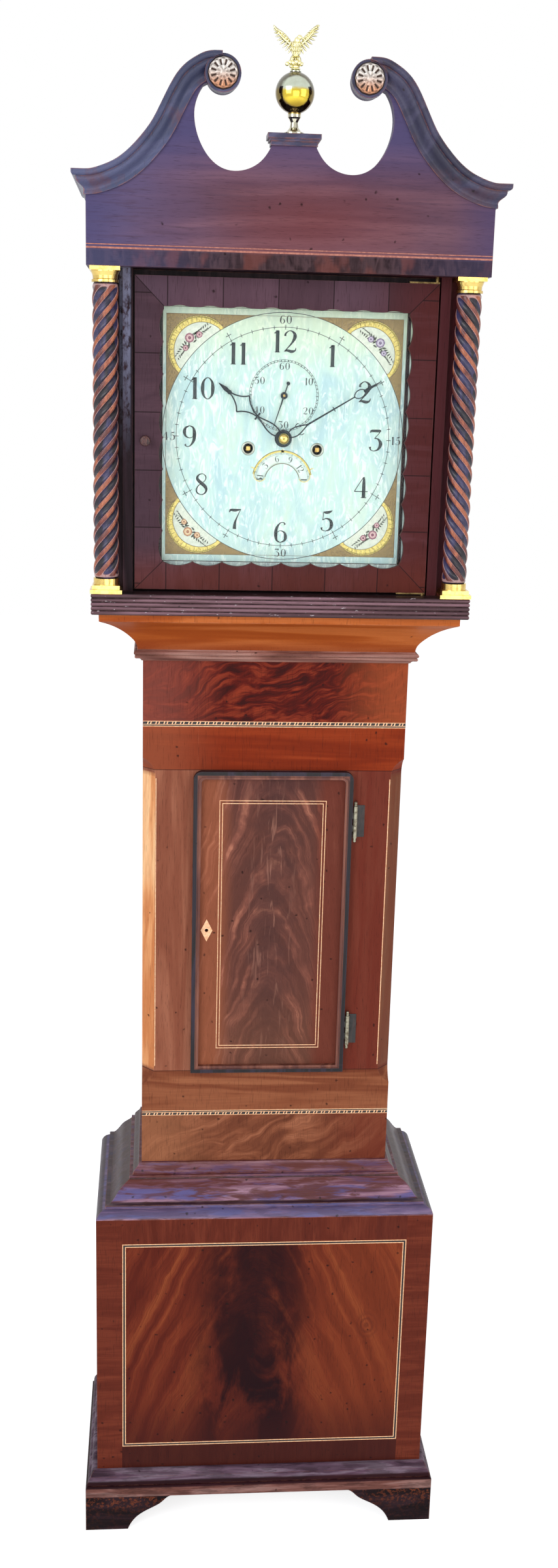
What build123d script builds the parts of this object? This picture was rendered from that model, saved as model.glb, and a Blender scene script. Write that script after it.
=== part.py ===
from build123d import *
import math
import os

# Longcase clock, millimetres, front towards -Y, up is +Z
# X is measured from the middle of the case, Y from the middle of its depth

# Case widths and depths
trunk_half = 184.5
trunk_front = -45.0
case_back = 133.0
hood_back = 130.0
board = 16.0
backboard_thick = 12.0
base_out = 66.0
foot_out = 83.5
hood_base_out = 68.0
frieze_out = 71.0
cornice_out = 88.0

# Heights of the case stages
foot_apron = 58.5
foot_top = 68.5
foot_moulding_top = 97.5
base_top = 525.0
base_moulding_rise = 60.0
trunk_bottom = base_top + base_moulding_rise
seat_under = 1558.0
seat_top = 1578.0
bead_bottom = 1349.0
hood_floor = 1421.0
hood_base_top = 1449.0
frieze_bottom = 1859.0
frieze_top = 1941.0
roof_under = 1925.0
backboard_top = 1830.0

# Bracket feet
foot_board = 22.0
foot_inner_step = 64.0
foot_curve_reach = 66.0

# Trunk front frame
frame_thick = 18.0
door_half = 113.0
door_low = 733.0
door_high = 1193.0
door_lip = 6.0
door_gap = 1.0
cant = 17.0
cant_low = 741.0
cant_high = 1181.0
cant_scoop = 33.0

# Trunk door
panel_front = -48.0
panel_back = -31.0
lip_front = -54.0
door_axis_x = 117.5
door_axis_y = -51.0
hinge_radius = 3.2
hinge_upper = (1096.0, 1143.0)
hinge_lower = (776.0, 822.0)
lock_x = -92.0
lock_z = 955.0

# Hood front
stile_inner = 198.0
stile_front = -71.9
fillet_front = -81.0
fillet_half_out = 211.0
hood_side_in = 222.0
hood_side_out = 236.0
mask_front = -60.6
mask_back = -56.6
mask_half = 159.5
mask_low = 1488.0
mask_high = 1815.0
column_x = 232.5
column_y = -93.0
column_radius = 16.75
column_bottom = 1468.0
column_top = 1840.0
twist_lead = 106.0
twist_strands = 5
twist_depth = 2.8

# Hood door
hdoor_half = 195.5
hdoor_low = 1452.5
hdoor_high = 1851.0
hdoor_front = -83.0
hdoor_back = -63.0
hdoor_open_half = 158.5
hdoor_open_low = 1489.5
hdoor_open_high = 1810.5
lobe_count = 8
lobe_depth = 5.5
glass_front = -76.0
glass_thick = 2.5
glass_lap = 8.0
hdoor_axis_x = 192.5
hdoor_axis_y = -80.0
pin_radius = 2.5
pin_play = 0.05

# Dial and hands
dial_half = 165.1
dial_front = -55.0
dial_thick = 1.6
hands_z = 1651.5
seconds_z = hands_z + 55.0
calendar_z = hands_z - 56.0
winding_x = 46.0
winding_z = hands_z - 14.0
winding_hole = 8.5
hour_angle = 308.7
minute_angle = 59.0
seconds_angle = 198.0

# Movement plates
front_plate = (-23.0, -20.0)
back_plate = (40.0, 43.0)
plate_half = 85.0
seat_bolt_x = 48.0
seat_bolt_y = 30.0
plate_top = 1762.0
pivot_radius = 1.2
arbor_radius = 2.0
play = 0.05

# Pendulum
pendulum_y = 63.0
swing_z = 1743.0
bob_z = 749.0
bob_radius = 55.0
bob_thick = 28.0
rod_radius = 2.4

# Hammer
hammer_x = -66.0
hammer_z = 1738.0
hammer_tail = 32.0

# Weights and lines
barrel_radius = 25.1
line_radius = 0.9
line_y = 7.0
pulley_line_radius = 25.0
pulley_z = 590.0
weight_radius = 30.0
weight_low = 330.0
weight_high = 540.0

# Teeth
great_teeth = 96
centre_pinion = 8
centre_teeth = 60
third_pinion = 8
third_teeth = 56
escape_pinion = 7
motion_teeth = 36
minute_pinion = 6
hour_teeth = 72
strike_teeth = 84
pin_pinion = 8
pin_teeth = 64
gather_pinion = 8
gather_teeth = 56
fly_pinion = 7
great_pitch = math.hypot(winding_x, hands_z - winding_z)
great_module = 2 * great_pitch / (great_teeth + centre_pinion)
third_x = 10.8
third_z = hands_z + 30.4
centre_module = 2 * math.hypot(third_x, third_z - hands_z) / (centre_teeth + third_pinion)
third_module = 2 * math.hypot(third_x, seconds_z - third_z) / (third_teeth + escape_pinion)
motion_x = -19.0
motion_z = hands_z - 18.0
motion_span = math.hypot(motion_x, hands_z - motion_z)
motion_module = 2 * motion_span / (2 * motion_teeth)
hour_module = 2 * motion_span / (hour_teeth + minute_pinion)
pin_x = -winding_x - 12.0
pin_z = winding_z + 42.0
strike_module = 2 * math.hypot(pin_x + winding_x, pin_z - winding_z) / (strike_teeth + pin_pinion)
gather_x = pin_x + 24.0
gather_z = pin_z + 19.0
pin_module = 2 * math.hypot(gather_x - pin_x, gather_z - pin_z) / (pin_teeth + gather_pinion)
pin_circle = 25.0
pin_count = 8
fly_x = gather_x - 12.3
fly_z = gather_z + 22.0
gather_module = 2 * math.hypot(fly_x - gather_x, fly_z - gather_z) / (gather_teeth + fly_pinion)


# Basic shapes
def block(x0, x1, y0, y1, z0, z1):
    middle = Pos((x0 + x1) / 2, (y0 + y1) / 2, (z0 + z1) / 2)
    return middle * Box(x1 - x0, y1 - y0, z1 - z0)


def rod_y(x, z, radius, y0, y1):
    return Pos(x, (y0 + y1) / 2, z) * Rot(90, 0, 0) * Cylinder(radius, y1 - y0)


def rod_z(x, y, radius, z0, z1):
    return Pos(x, y, (z0 + z1) / 2) * Cylinder(radius, z1 - z0)


def rod_x(y, z, radius, x0, x1):
    return Pos((x0 + x1) / 2, y, z) * Rot(0, 90, 0) * Cylinder(radius, x1 - x0)


def front_slab(points, y0, y1):
    plane = Plane(origin=(0, y1, 0), x_dir=(1, 0, 0), z_dir=(0, -1, 0))
    face = make_face(Polyline(*points, close=True))
    return extrude(plane * face, y1 - y0)


def floor_slab(points, z0, z1):
    face = make_face(Polyline(*points, close=True))
    return extrude(Pos(0, 0, z0) * face, z1 - z0)


def path_face(start, steps):
    edges = []
    here = start
    for step in steps:
        if step[0] == "line":
            edges.append(Line(here, step[1]))
        elif step[0] == "arc":
            edges.append(ThreePointArc(here, step[1], step[2]))
        else:
            edges.append(Spline([here] + list(step[1:])))
        here = step[-1]
    if math.dist(here, start) > 1e-6:
        edges.append(Line(here, start))
    return make_face(edges)


def turned(points, x, y, z):
    face = make_face(Polyline(*points, close=True))
    return Pos(x, y, z) * revolve(Plane.XZ * face, Axis.Z)


def turned_y(points, x, y, z):
    face = make_face(Polyline(*points, close=True))
    return Pos(x, y, z) * Rot(90, 0, 0) * revolve(Plane.XZ * face, Axis.Z)


def both_sides(shape):
    return [shape, mirror(shape, Plane.YZ)]


def group(*items):
    solids = []
    for item in items:
        if isinstance(item, (list, tuple)):
            for one in item:
                solids.extend(one.solids())
        else:
            solids.extend(item.solids())
    return Compound(children=solids)


# Mitred mouldings round the front and both sides, profile as outward distance and height
def front_run(face, low, high, inner, outer):
    plane = Plane(origin=(0, trunk_front, 0), x_dir=(0, -1, 0), z_dir=(-1, 0, 0))
    run = extrude(plane * face, trunk_half + outer, both=True)
    near = [(-(trunk_half + outer), trunk_front - outer), (trunk_half + outer, trunk_front - outer)]
    far = [(trunk_half + inner, trunk_front - inner), (-(trunk_half + inner), trunk_front - inner)]
    return run & floor_slab(near + far, low - 1, high + 1)


def side_run(face, low, high, inner, outer, back):
    plane = Plane(origin=(trunk_half, back, 0), x_dir=(1, 0, 0), z_dir=(0, -1, 0))
    run = extrude(plane * face, back - trunk_front + outer)
    corner = [(trunk_half + inner, back), (trunk_half + outer, back)]
    mitre = [(trunk_half + outer, trunk_front - outer), (trunk_half + inner, trunk_front - inner)]
    return run & floor_slab(corner + mitre, low - 1, high + 1)


def round_case(face, low, high, inner, outer, back):
    side = side_run(face, low, high, inner, outer, back)
    return [front_run(face, low, high, inner, outer)] + both_sides(side)


# Toothed wheels, drawn from the front, angles in degrees anticlockwise from +X
def tooth_points(teeth, module, phase, x, z):
    pitch = 2 * math.pi / teeth
    root = module * (teeth / 2 - 1.3)
    middle = module * teeth / 2
    tip = module * (teeth / 2 + 0.8)
    shape = [(root, -0.26), (middle, -0.19), (tip, -0.08), (tip, 0.08), (middle, 0.19), (root, 0.26)]
    points = []
    for index in range(teeth):
        centre = math.radians(phase) + index * pitch
        for radius, share in shape:
            angle = centre + share * pitch
            points.append((x + radius * math.cos(angle), z + radius * math.sin(angle)))
    return points


def mesh_phase(phase_a, teeth_a, teeth_b, ax, az, bx, bz):
    line = math.degrees(math.atan2(bz - az, bx - ax))
    step = 360.0 / teeth_a
    offset = (line - phase_a) - step * round((line - phase_a) / step)
    return line + 180.0 + offset * teeth_a / teeth_b + 180.0 / teeth_b


def wheel(teeth, module, phase, x, z, y0, y1, hub, spokes=4):
    root = module * (teeth / 2 - 1.3)
    body = front_slab(tooth_points(teeth, module, phase, x, z), y0, y1)
    if spokes == 0:
        return body
    window = rod_y(x, z, root - 2.2, y0 - 1, y1 + 1)
    body = body - window
    arms = rod_y(x, z, hub, y0, y1)
    for index in range(spokes):
        turn = Pos(x, 0, z) * Rot(0, 360.0 / spokes * index + 20, 0)
        arms = arms + turn * block(0, root - 1.6, y0, y1, -1.4, 1.4)
    return body + arms


phase_great = 0.0
phase_centre_pinion = mesh_phase(phase_great, great_teeth, centre_pinion, winding_x, winding_z, 0, hands_z)
phase_centre = 1.0
phase_third_pinion = mesh_phase(phase_centre, centre_teeth, third_pinion, 0, hands_z, third_x, third_z)
phase_third = 2.0
phase_escape_pinion = mesh_phase(phase_third, third_teeth, escape_pinion, third_x, third_z, 0, seconds_z)
phase_cannon = 3.0
phase_minute = mesh_phase(phase_cannon, motion_teeth, motion_teeth, 0, hands_z, motion_x, motion_z)
phase_hour = 0.5
phase_minute_pinion = mesh_phase(phase_hour, hour_teeth, minute_pinion, 0, hands_z, motion_x, motion_z)
phase_strike = 0.0
phase_pin_pinion = mesh_phase(phase_strike, strike_teeth, pin_pinion, -winding_x, winding_z, pin_x, pin_z)
phase_pin = 1.0
phase_gather_pinion = mesh_phase(phase_pin, pin_teeth, gather_pinion, pin_x, pin_z, gather_x, gather_z)
phase_gather = 2.0
phase_fly = mesh_phase(phase_gather, gather_teeth, fly_pinion, gather_x, gather_z, fly_x, fly_z)


# Both lines hang from the left of their barrels, so the clock winds clockwise
def barrel_run(side):
    return side * winding_x - barrel_radius - line_radius


def fixed_run(side):
    return barrel_run(side) + 2 * pulley_line_radius


def pulley_x(side):
    return barrel_run(side) + pulley_line_radius


# Case carcass
def backboard():
    wide = trunk_half + base_out
    half = [(trunk_half, backboard_top), (trunk_half, base_top), (wide, base_top), (wide, foot_top)]
    points = [(-x, z) for x, z in reversed(half)] + half
    return front_slab(points, case_back - backboard_thick, case_back)


def base_panels():
    front_y = trunk_front - base_out
    wide = trunk_half + base_out
    rear = case_back - backboard_thick
    front = block(-wide, wide, front_y, front_y + frame_thick, foot_top, base_top)
    side = block(wide - board, wide, front_y + frame_thick, rear, foot_top, base_top)
    floor = block(board - wide, wide - board, front_y + frame_thick, rear, 104, 116)
    return group(front, both_sides(side), floor)


def base_top_moulding():
    low = base_top
    steps = [
        ("line", (0, trunk_bottom)),
        ("line", (4, trunk_bottom)),
        ("spline", (5.5, low + 56), (10, low + 52), (13, low + 48)),
        ("line", (13, low + 45.5)),
        ("line", (18, low + 45.5)),
        ("line", (18, low + 41.5)),
        ("spline", (22, low + 38.5), (30, low + 33.5), (36, low + 27), (41.5, low + 20), (46, low + 16.5)),
        ("line", (53, low + 16.5)),
        ("line", (53, low + 11.5)),
        ("arc", (61.5, low + 8.5), (base_out, low + 2)),
        ("line", (base_out, base_top)),
    ]
    face = path_face((0, base_top), steps)
    return group(round_case(face, base_top, trunk_bottom, 0, base_out, case_back))


def foot_moulding():
    steps = [
        ("line", (base_out, foot_moulding_top)),
        ("arc", (73, 96), (75.5, 90.5)),
        ("line", (75.5, 88.5)),
        ("arc", (79.6, 84.5), (81, 78)),
        ("line", (79.5, 76.5)),
        ("arc", (83.2, 74.5), (foot_out, foot_top)),
    ]
    face = path_face((base_out, foot_top), steps)
    return round_case(face, foot_top, foot_moulding_top, base_out, foot_out, case_back)


def foot_opening(span):
    left = -span / 2
    curve = [(0, -2), (4, 8), (13, 21), (24, 30), (38, 38), (52, 47), (60, 55), (foot_curve_reach, foot_apron)]
    start = (left, -2)
    points = [(left + x, z) for x, z in curve[1:]]
    back = [(-x, z) for x, z in reversed(points)]
    steps = [("spline",) + tuple(points), ("line", back[0]), ("spline",) + tuple(back[1:] + [(-left, -2)])]
    return path_face(start, steps)


def bracket_feet():
    inner = foot_out - foot_board
    face = path_face((inner, 0), [("line", (foot_out, 0)), ("line", (foot_out, foot_top)), ("line", (inner, foot_top))])
    front, right, left = round_case(face, 0, foot_top, inner, foot_out, case_back)
    wide = 2 * (trunk_half + foot_out - foot_inner_step)
    plane = Plane(origin=(0, trunk_front, 0), x_dir=(1, 0, 0), z_dir=(0, -1, 0))
    front = front - extrude(plane * foot_opening(wide), foot_out + 10)
    deep = case_back - (trunk_front - foot_out) - 2 * foot_inner_step
    middle = (case_back + trunk_front - foot_out) / 2
    side_plane = Plane(origin=(0, middle, 0), x_dir=(0, 1, 0), z_dir=(1, 0, 0))
    side_tool = extrude(side_plane * foot_opening(deep), 400, both=True)
    right = right - side_tool
    left = left - side_tool
    x1 = trunk_half + inner
    y1 = trunk_front - inner
    corner = block(x1 - 36, x1, y1, y1 + 36, 0, foot_top)
    return [front, right, left] + both_sides(corner)


def foot_moulding_and_feet():
    return group(foot_moulding(), bracket_feet())


def trunk_sides_and_seat_board():
    rear = case_back - backboard_thick
    side = block(trunk_half - board, trunk_half, trunk_front + frame_thick, rear, trunk_bottom - 100, seat_under)
    seat = block(-trunk_half, trunk_half, -40, 50, seat_under, seat_top)
    for side_sign in (-1, 1):
        seat = seat - rod_z(barrel_run(side_sign), line_y, 5, seat_under - 1, seat_top + 1)
        seat = seat - rod_z(fixed_run(side_sign), line_y, 1.3, seat_under - 1, seat_top + 1)
        seat = seat - rod_z(side_sign * seat_bolt_x, seat_bolt_y, 2.9, seat_under - 1, seat_top + 1)
    return group(both_sides(side), seat)


def trunk_front_frame():
    back = trunk_front + frame_thick
    open_half = door_half - door_lip
    low = door_low + door_lip
    high = door_high - door_lip
    stile = block(open_half, trunk_half, trunk_front, back, trunk_bottom - 60, hood_floor)
    steps = [
        ("line", (0, cant_high)),
        ("arc", (3.4, cant_high + 20), (cant, cant_high + cant_scoop)),
        ("line", (cant + 12, cant_high + cant_scoop)),
        ("line", (cant + 12, cant_low - cant_scoop)),
        ("line", (cant, cant_low - cant_scoop)),
        ("arc", (3.4, cant_low - 20), (0, cant_low)),
    ]
    face = path_face((0, cant_low), steps)
    slant = 1 / math.sqrt(2)
    plane = Plane(origin=(trunk_half - cant / 2, trunk_front + cant / 2, 0), x_dir=(slant, -slant, 0), z_dir=(-slant, -slant, 0))
    stile = stile - extrude(plane * face, 40, both=True)
    top = block(-open_half, open_half, trunk_front, back, high, hood_floor)
    bottom = block(-open_half, open_half, trunk_front, back, trunk_bottom - 60, low)
    right, left = both_sides(stile)
    left = left - block(-open_half - 10, -open_half + 1, -36, -31, lock_z - 7, lock_z + 7)
    return group(right, left, top, bottom)


def throat_moulding():
    steps = [
        ("line", (2, bead_bottom)),
        ("arc", (4.5, 1352), (8, 1353)),
        ("arc", (11.2, 1355), (9.3, 1357.8)),
        ("arc", (12.4, 1360.4), (8.5, 1363.5)),
        ("line", (7.5, 1365.5)),
        ("spline", (9, 1373), (16, 1383), (31, 1396.5), (46, 1405.5), (56.5, 1410)),
        ("line", (58, 1411)),
        ("line", (58, hood_floor)),
        ("line", (0, hood_floor)),
    ]
    face = path_face((0, bead_bottom), steps)
    return group(round_case(face, bead_bottom, hood_floor, 0, 58, case_back))


# Inlaid lines and chequer bands, 0.4 mm proud of the wood
inlay = 0.4


def line_frame(half, low, high, width, y):
    left = block(-half, -half + width, y - inlay, y, low, high)
    right = block(half - width, half, y - inlay, y, low, high)
    lower = block(-half + width, half - width, y - inlay, y, low, low + width)
    upper = block(-half + width, half - width, y - inlay, y, high - width, high)
    return [left, right, lower, upper]


def chequer_band(z, line_side):
    parts = []
    y = trunk_front
    count = 23
    step = 2 * trunk_half / count
    for index in range(count):
        x = -trunk_half + index * step
        parts.append(block(x + 0.1, x + step / 2, y - inlay, y, z - 2.5, z + 2.5))
    for offset in (0, 3.4):
        line = z + line_side * (4.6 + offset)
        parts.append(block(-trunk_half, trunk_half, y - inlay, y, line - 0.6, line + 0.6))
    return parts


def case_inlay():
    base_y = trunk_front - base_out
    parts = line_frame(212, 136, base_top - 40, 1.6, base_y)
    parts = parts + line_frame(208, 140, base_top - 44, 1.6, base_y)
    parts = parts + chequer_band(1261, -1) + chequer_band(663, 1)
    edge = trunk_half - cant - 2.4
    parts = parts + both_sides(block(edge, edge + 1.2, trunk_front - inlay, trunk_front, cant_low, cant_high))
    return group(parts)


# Trunk door
def rounded_door(half, low, high, radius, y0, y1):
    body = block(-half, half, y0, y1, low, high)
    top = body.edges().filter_by(Axis.Y).sort_by(Axis.Z)[-2:]
    return fillet(top, radius)


def trunk_door_panel():
    half = door_half - door_lip - door_gap
    low = door_low + door_lip + door_gap
    high = door_high - door_lip - door_gap
    body = block(-half, half, panel_front, panel_back, low, high)
    body = body - block(lock_x - 16, lock_x + 16, -38, panel_back + 1, lock_z - 22, lock_z + 22)
    return body - rod_y(lock_x, lock_z, 2.6, panel_front - 1, panel_back)


def trunk_door_moulding():
    width = 11.0
    outer = rounded_door(door_half, door_low, door_high, 12, lip_front, trunk_front - 0.4)
    inner = rounded_door(door_half - width, door_low + width, door_high - width, 6, lip_front - 1, trunk_front + 1)
    ring = outer - inner
    half = door_half - door_lip - door_gap
    ring = ring - block(-half, half, panel_front, trunk_front + 1, door_low + door_lip + door_gap, door_high - door_lip - door_gap)
    groove = rounded_door(door_half - 6, door_low + 6, door_high - 6, 8, lip_front - 1, lip_front + 1.2)
    groove = groove - rounded_door(door_half - 8, door_low + 8, door_high - 8, 7, lip_front - 2, lip_front + 2)
    ring = ring - groove
    for low, high in (hinge_upper, hinge_lower):
        ring = ring - rod_z(door_axis_x, door_axis_y, hinge_radius + 1.5, low - 8, high + 8)
        step = (high - low) / 5
        for index in (1, 3):
            z0 = low + index * step + 0.15
            z1 = low + (index + 1) * step - 0.15
            ring = ring - block(door_half - 4, door_axis_x, door_axis_y - 0.8, door_axis_y + 0.8, z0, z1)
    left = ring & block(-200, 0, -80, 0, door_low + width, door_high - width)
    right = ring & block(0, 200, -80, 0, door_low + width, door_high - width)
    upper = ring & block(-200, 200, -80, 0, door_high - width, door_high + 5)
    lower = ring & block(-200, 200, -80, 0, door_low - 5, door_low + width)
    return group(left, right, upper, lower)


def trunk_door_inlay():
    half = 76.0
    parts = line_frame(half, 770, 1150, 1.0, panel_front)
    parts = parts + line_frame(half - 4, 774, 1146, 1.0, panel_front)
    diamond = [(lock_x, lock_z - 17), (lock_x + 8.5, lock_z), (lock_x, lock_z + 17), (lock_x - 8.5, lock_z)]
    plate = front_slab(diamond, panel_front - 0.8, panel_front)
    parts.append(plate - rod_y(lock_x, lock_z, 2.6, panel_front - 2, panel_front + 1))
    return group(parts)


def trunk_door_lock():
    case = block(lock_x - 13.5, lock_x + 15.5, -38, -29, lock_z - 21, lock_z + 21)
    case = case - block(lock_x - 14, lock_x + 13, -35.5, -31.5, lock_z - 6.2, lock_z + 6.2)
    case = case - rod_y(lock_x, lock_z, 2.6, -39, -35)
    return group(case + rod_y(lock_x, lock_z + 12, 1.6, -36, -30))


def lock_bolt():
    return group(block(lock_x - 13.4, lock_x + 5, -35.3, -31.7, lock_z - 6, lock_z + 6))


def door_knuckles(low, high):
    parts = []
    count = 5
    step = (high - low) / count
    for index in (1, 3):
        z0 = low + index * step + 0.15
        z1 = low + (index + 1) * step - 0.15
        parts.append(rod_z(door_axis_x, door_axis_y, hinge_radius, z0, z1))
        parts.append(block(door_half - 4, door_axis_x, door_axis_y - 0.8, door_axis_y + 0.8, z0, z1))
    return parts[0] + parts[1] + parts[2] + parts[3]


def trunk_door_hinge_leaves():
    shapes = []
    for low, high in (hinge_upper, hinge_lower):
        barrel = door_knuckles(low, high)
        pin = rod_z(door_axis_x, door_axis_y, 1.2, low - 4.5, high + 4.5)
        tips = rod_z(door_axis_x, door_axis_y, 2.2, high + 0.2, high + 3)
        tips = tips + Pos(door_axis_x, door_axis_y, high + 4.5) * Sphere(2.4)
        tips = tips + rod_z(door_axis_x, door_axis_y, 2.2, low - 3, low - 0.2)
        tips = tips + Pos(door_axis_x, door_axis_y, low - 4.5) * Sphere(2.4)
        shapes.append(barrel + pin + tips)
    return group(shapes)


def trunk_hinge_leaves():
    shapes = []
    for low, high in (hinge_upper, hinge_lower):
        step = (high - low) / 5
        for index in (0, 2, 4):
            z0 = low + index * step + 0.15
            z1 = low + (index + 1) * step - 0.15
            knuckle = rod_z(door_axis_x, door_axis_y, hinge_radius, z0, z1)
            knuckle = knuckle + block(door_axis_x + 1.6, door_axis_x + 3.0, door_axis_y, trunk_front, z0, z1)
            shapes.append(knuckle - rod_z(door_axis_x, door_axis_y, 1.25, z0 - 1, z1 + 1))
        shapes.append(block(door_axis_x + 1.6, door_axis_x + 14, trunk_front - 0.6, trunk_front, low, high))
        fused = shapes[-4] + shapes[-3] + shapes[-2] + shapes[-1]
        shapes = shapes[:-4] + [fused]
    return group(shapes)


# Hood carcass
def hood_carcass():
    side = block(hood_side_in, hood_side_out, mask_front, hood_back, hood_base_top, frieze_bottom)
    stile = block(stile_inner, hood_side_out, stile_front, mask_front, hood_base_top, frieze_bottom)
    strip = block(stile_inner, fillet_half_out, fillet_front, stile_front, hood_base_top, frieze_bottom)
    stile = stile + strip
    frieze_x = trunk_half + frieze_out
    front_y = trunk_front - frieze_out
    frieze_side = block(frieze_x - frame_thick, frieze_x, front_y + frame_thick, hood_back, frieze_bottom, frieze_top + 22)
    soffit = block(frame_thick - frieze_x, frieze_x - frame_thick, front_y + frame_thick, mask_back, frieze_bottom, frieze_bottom + 8)
    soffit = soffit - rod_z(hdoor_axis_x, hdoor_axis_y, pin_radius + pin_play, frieze_bottom - 1, frieze_bottom + 9)
    ledge = block(200, frieze_x - frame_thick, mask_back, hood_back, frieze_bottom, frieze_bottom + 8)
    roof = block(frame_thick - frieze_x, frieze_x - frame_thick, front_y + frame_thick, hood_back, roof_under, roof_under + 8)
    return group(both_sides(side), both_sides(stile), both_sides(frieze_side), soffit, both_sides(ledge), roof)


def hood_base_frame():
    reeds = 5
    pitch = (hood_base_top - hood_floor) / reeds
    steps = []
    for index in range(reeds):
        z0 = hood_floor + index * pitch
        steps.append(("arc", (hood_base_out, z0 + pitch / 2), (hood_base_out - 1.6, z0 + pitch)))
    steps.append(("line", (2, hood_base_top)))
    steps.append(("line", (2, hood_floor)))
    face = path_face((hood_base_out - 1.6, hood_floor), steps)
    runs = round_case(face, hood_floor, hood_base_top, 2, hood_base_out, hood_back)
    hole = rod_z(hdoor_axis_x, hdoor_axis_y, pin_radius + pin_play, hood_base_top - 9, hood_base_top + 1)
    runs = [run - hole for run in runs]
    return group(runs)


def dial_mask():
    body = block(-hood_side_in, hood_side_in, mask_front, mask_back, hood_base_top, frieze_bottom)
    body = body - block(-mask_half, mask_half, mask_front - 1, mask_back + 1, mask_low, mask_high)
    rails = []
    rails.append(body & block(-300, -mask_half, -90, 0, 1400, 1900))
    rails.append(body & block(mask_half, 300, -90, 0, 1400, 1900))
    rails.append(body & block(-mask_half, mask_half, -90, 0, mask_high, 1900))
    rails.append(body & block(-mask_half, mask_half, -90, 0, 1400, mask_low))
    return group(rails)


# Swan neck pediment
scroll_x = 89.0
scroll_z = 2083.0
scroll_rise = scroll_z - frieze_top
scroll_radius = 22.0
scroll_front = -128.5
neck_height = 28.0
neck_shape = [(255.5, 0.0), (228, 0.0387), (205.5, 0.1092), (185, 0.2148), (167, 0.3451), (151, 0.493)]
neck_shape = neck_shape + [(138.5, 0.6549), (127, 0.8099), (116, 0.9085), (104, 0.9613), (90, 0.9718)]
neck_curve = [(x, frieze_top + share * scroll_rise) for x, share in neck_shape]
cutout_shape = [(112.5, 0.9155), (120, 0.8134), (123, 0.7042), (122, 0.5986), (118.5, 0.507), (113, 0.4225)]
cutout_shape = cutout_shape + [(104, 0.3345), (90, 0.2606), (77, 0.2359), (62, 0.243), (48, 0.2817), (38, 0.338)]
cutout_shape = cutout_shape + [(31, 0.4049), (27.5, 0.4507)]
cutout_curve = [(x, frieze_top + share * scroll_rise) for x, share in cutout_shape]
plinth_z = cutout_curve[-1][1]
cap_half = 33.0


def pediment_board():
    front_y = trunk_front - frieze_out
    wide = trunk_half + frieze_out
    outer = []
    count = len(neck_curve)
    for index in range(count):
        x, z = neck_curve[index]
        x0, z0 = neck_curve[max(index - 1, 0)]
        x1, z1 = neck_curve[min(index + 1, count - 1)]
        length = math.hypot(x1 - x0, z1 - z0)
        outer.append((x + 22 * (z1 - z0) / length, z - 22 * (x1 - x0) / length))
    outer[0] = (wide, frieze_top + 22)
    steps = [("line", (wide, frieze_bottom)), ("line", (wide, frieze_top + 22)), ("spline",) + tuple(outer[1:])]
    steps = steps + [("line", (scroll_x, scroll_z)), ("line", cutout_curve[0]), ("spline",) + tuple(cutout_curve[1:])]
    steps.append(("line", (0, plinth_z)))
    half = path_face((0, frieze_bottom), steps)
    plane = Plane(origin=(0, front_y + frame_thick, 0), x_dir=(1, 0, 0), z_dir=(0, -1, 0))
    body = extrude(plane * half, frame_thick)
    body = body + rod_y(scroll_x, scroll_z, scroll_radius - 1.5, front_y, front_y + frame_thick)
    return group(body + mirror(body, Plane.YZ))


def cornice_face():
    steps = [
        ("line", (2.5, 0)),
        ("line", (2.5, 3)),
        ("spline", (3.6, 8.5), (8.4, 12.5), (11.5, 18)),
        ("line", (11.5, 20.5)),
        ("line", (14.2, 20.5)),
        ("arc", (16.4, 22.3), (17, 25)),
        ("line", (17, neck_height)),
        ("line", (0, neck_height)),
    ]
    return path_face((0, 0), steps)


def cornice_mouldings():
    front_y = trunk_front - frieze_out
    wide = trunk_half + frieze_out
    start = (wide + 20, frieze_top)
    flat = (neck_curve[0][0], neck_curve[0][1])
    plane = Plane(origin=(0, front_y, 0), x_dir=(1, 0, 0), z_dir=(0, -1, 0))
    first = Line(start, flat)
    second = Spline(neck_curve, tangents=[(-1, 0), (-1, 0)])
    path = plane * Wire([first, second])
    section = Plane(origin=(start[0], front_y, start[1]), x_dir=(0, -1, 0), z_dir=(-1, 0, 0)) * cornice_face()
    neck = sweep(section, path)
    mitre = [(0, front_y + 1), (wide - 1, front_y + 1), (wide + 19, front_y - 19), (0, front_y - 19)]
    neck = neck & floor_slab(mitre, frieze_top - 40, scroll_z + 70)
    neck = neck - rod_y(scroll_x, scroll_z, 20, scroll_front - 9, scroll_front)
    neck = neck + rod_y(scroll_x, scroll_z, scroll_radius, scroll_front, front_y)
    lifted = Pos(frieze_out, frieze_top) * cornice_face()
    side = side_run(lifted, frieze_top, frieze_top + neck_height, frieze_out, cornice_out, hood_back)
    return group(both_sides(neck), both_sides(side))


def rosettes():
    thick = 4.5
    points = [(0, 0), (19, 0), (19, 1.4), (17.5, 2.2), (8, 2.6), (6.5, 4), (3, thick), (0, thick)]
    one = turned_y(points, scroll_x, scroll_front, scroll_z)
    petals = []
    for index in range(12):
        turn = Pos(scroll_x, 0, scroll_z) * Rot(0, 30 * index, 0)
        petals.append(turn * Pos(12, scroll_front - 2.6, 0) * Rot(90, 0, 0) * Cylinder(2.3, 1.2))
    for petal in petals:
        one = one + petal
    return group(both_sides(one))


def plinth_cap():
    y = trunk_front - frieze_out + frame_thick / 2
    lower = block(-29, 29, y - 13, y + 13, plinth_z, plinth_z + 5)
    middle = block(-31, 31, y - 15, y + 15, plinth_z + 5, plinth_z + 8)
    upper = block(-cap_half, cap_half, y - 17, y + 17, plinth_z + 8, plinth_z + 14)
    return group(lower + middle + upper)


finial_y = trunk_front - frieze_out + frame_thick / 2
ball_rise = 62.0
ball_z = plinth_z + ball_rise
ball_radius = 24.0


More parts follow.
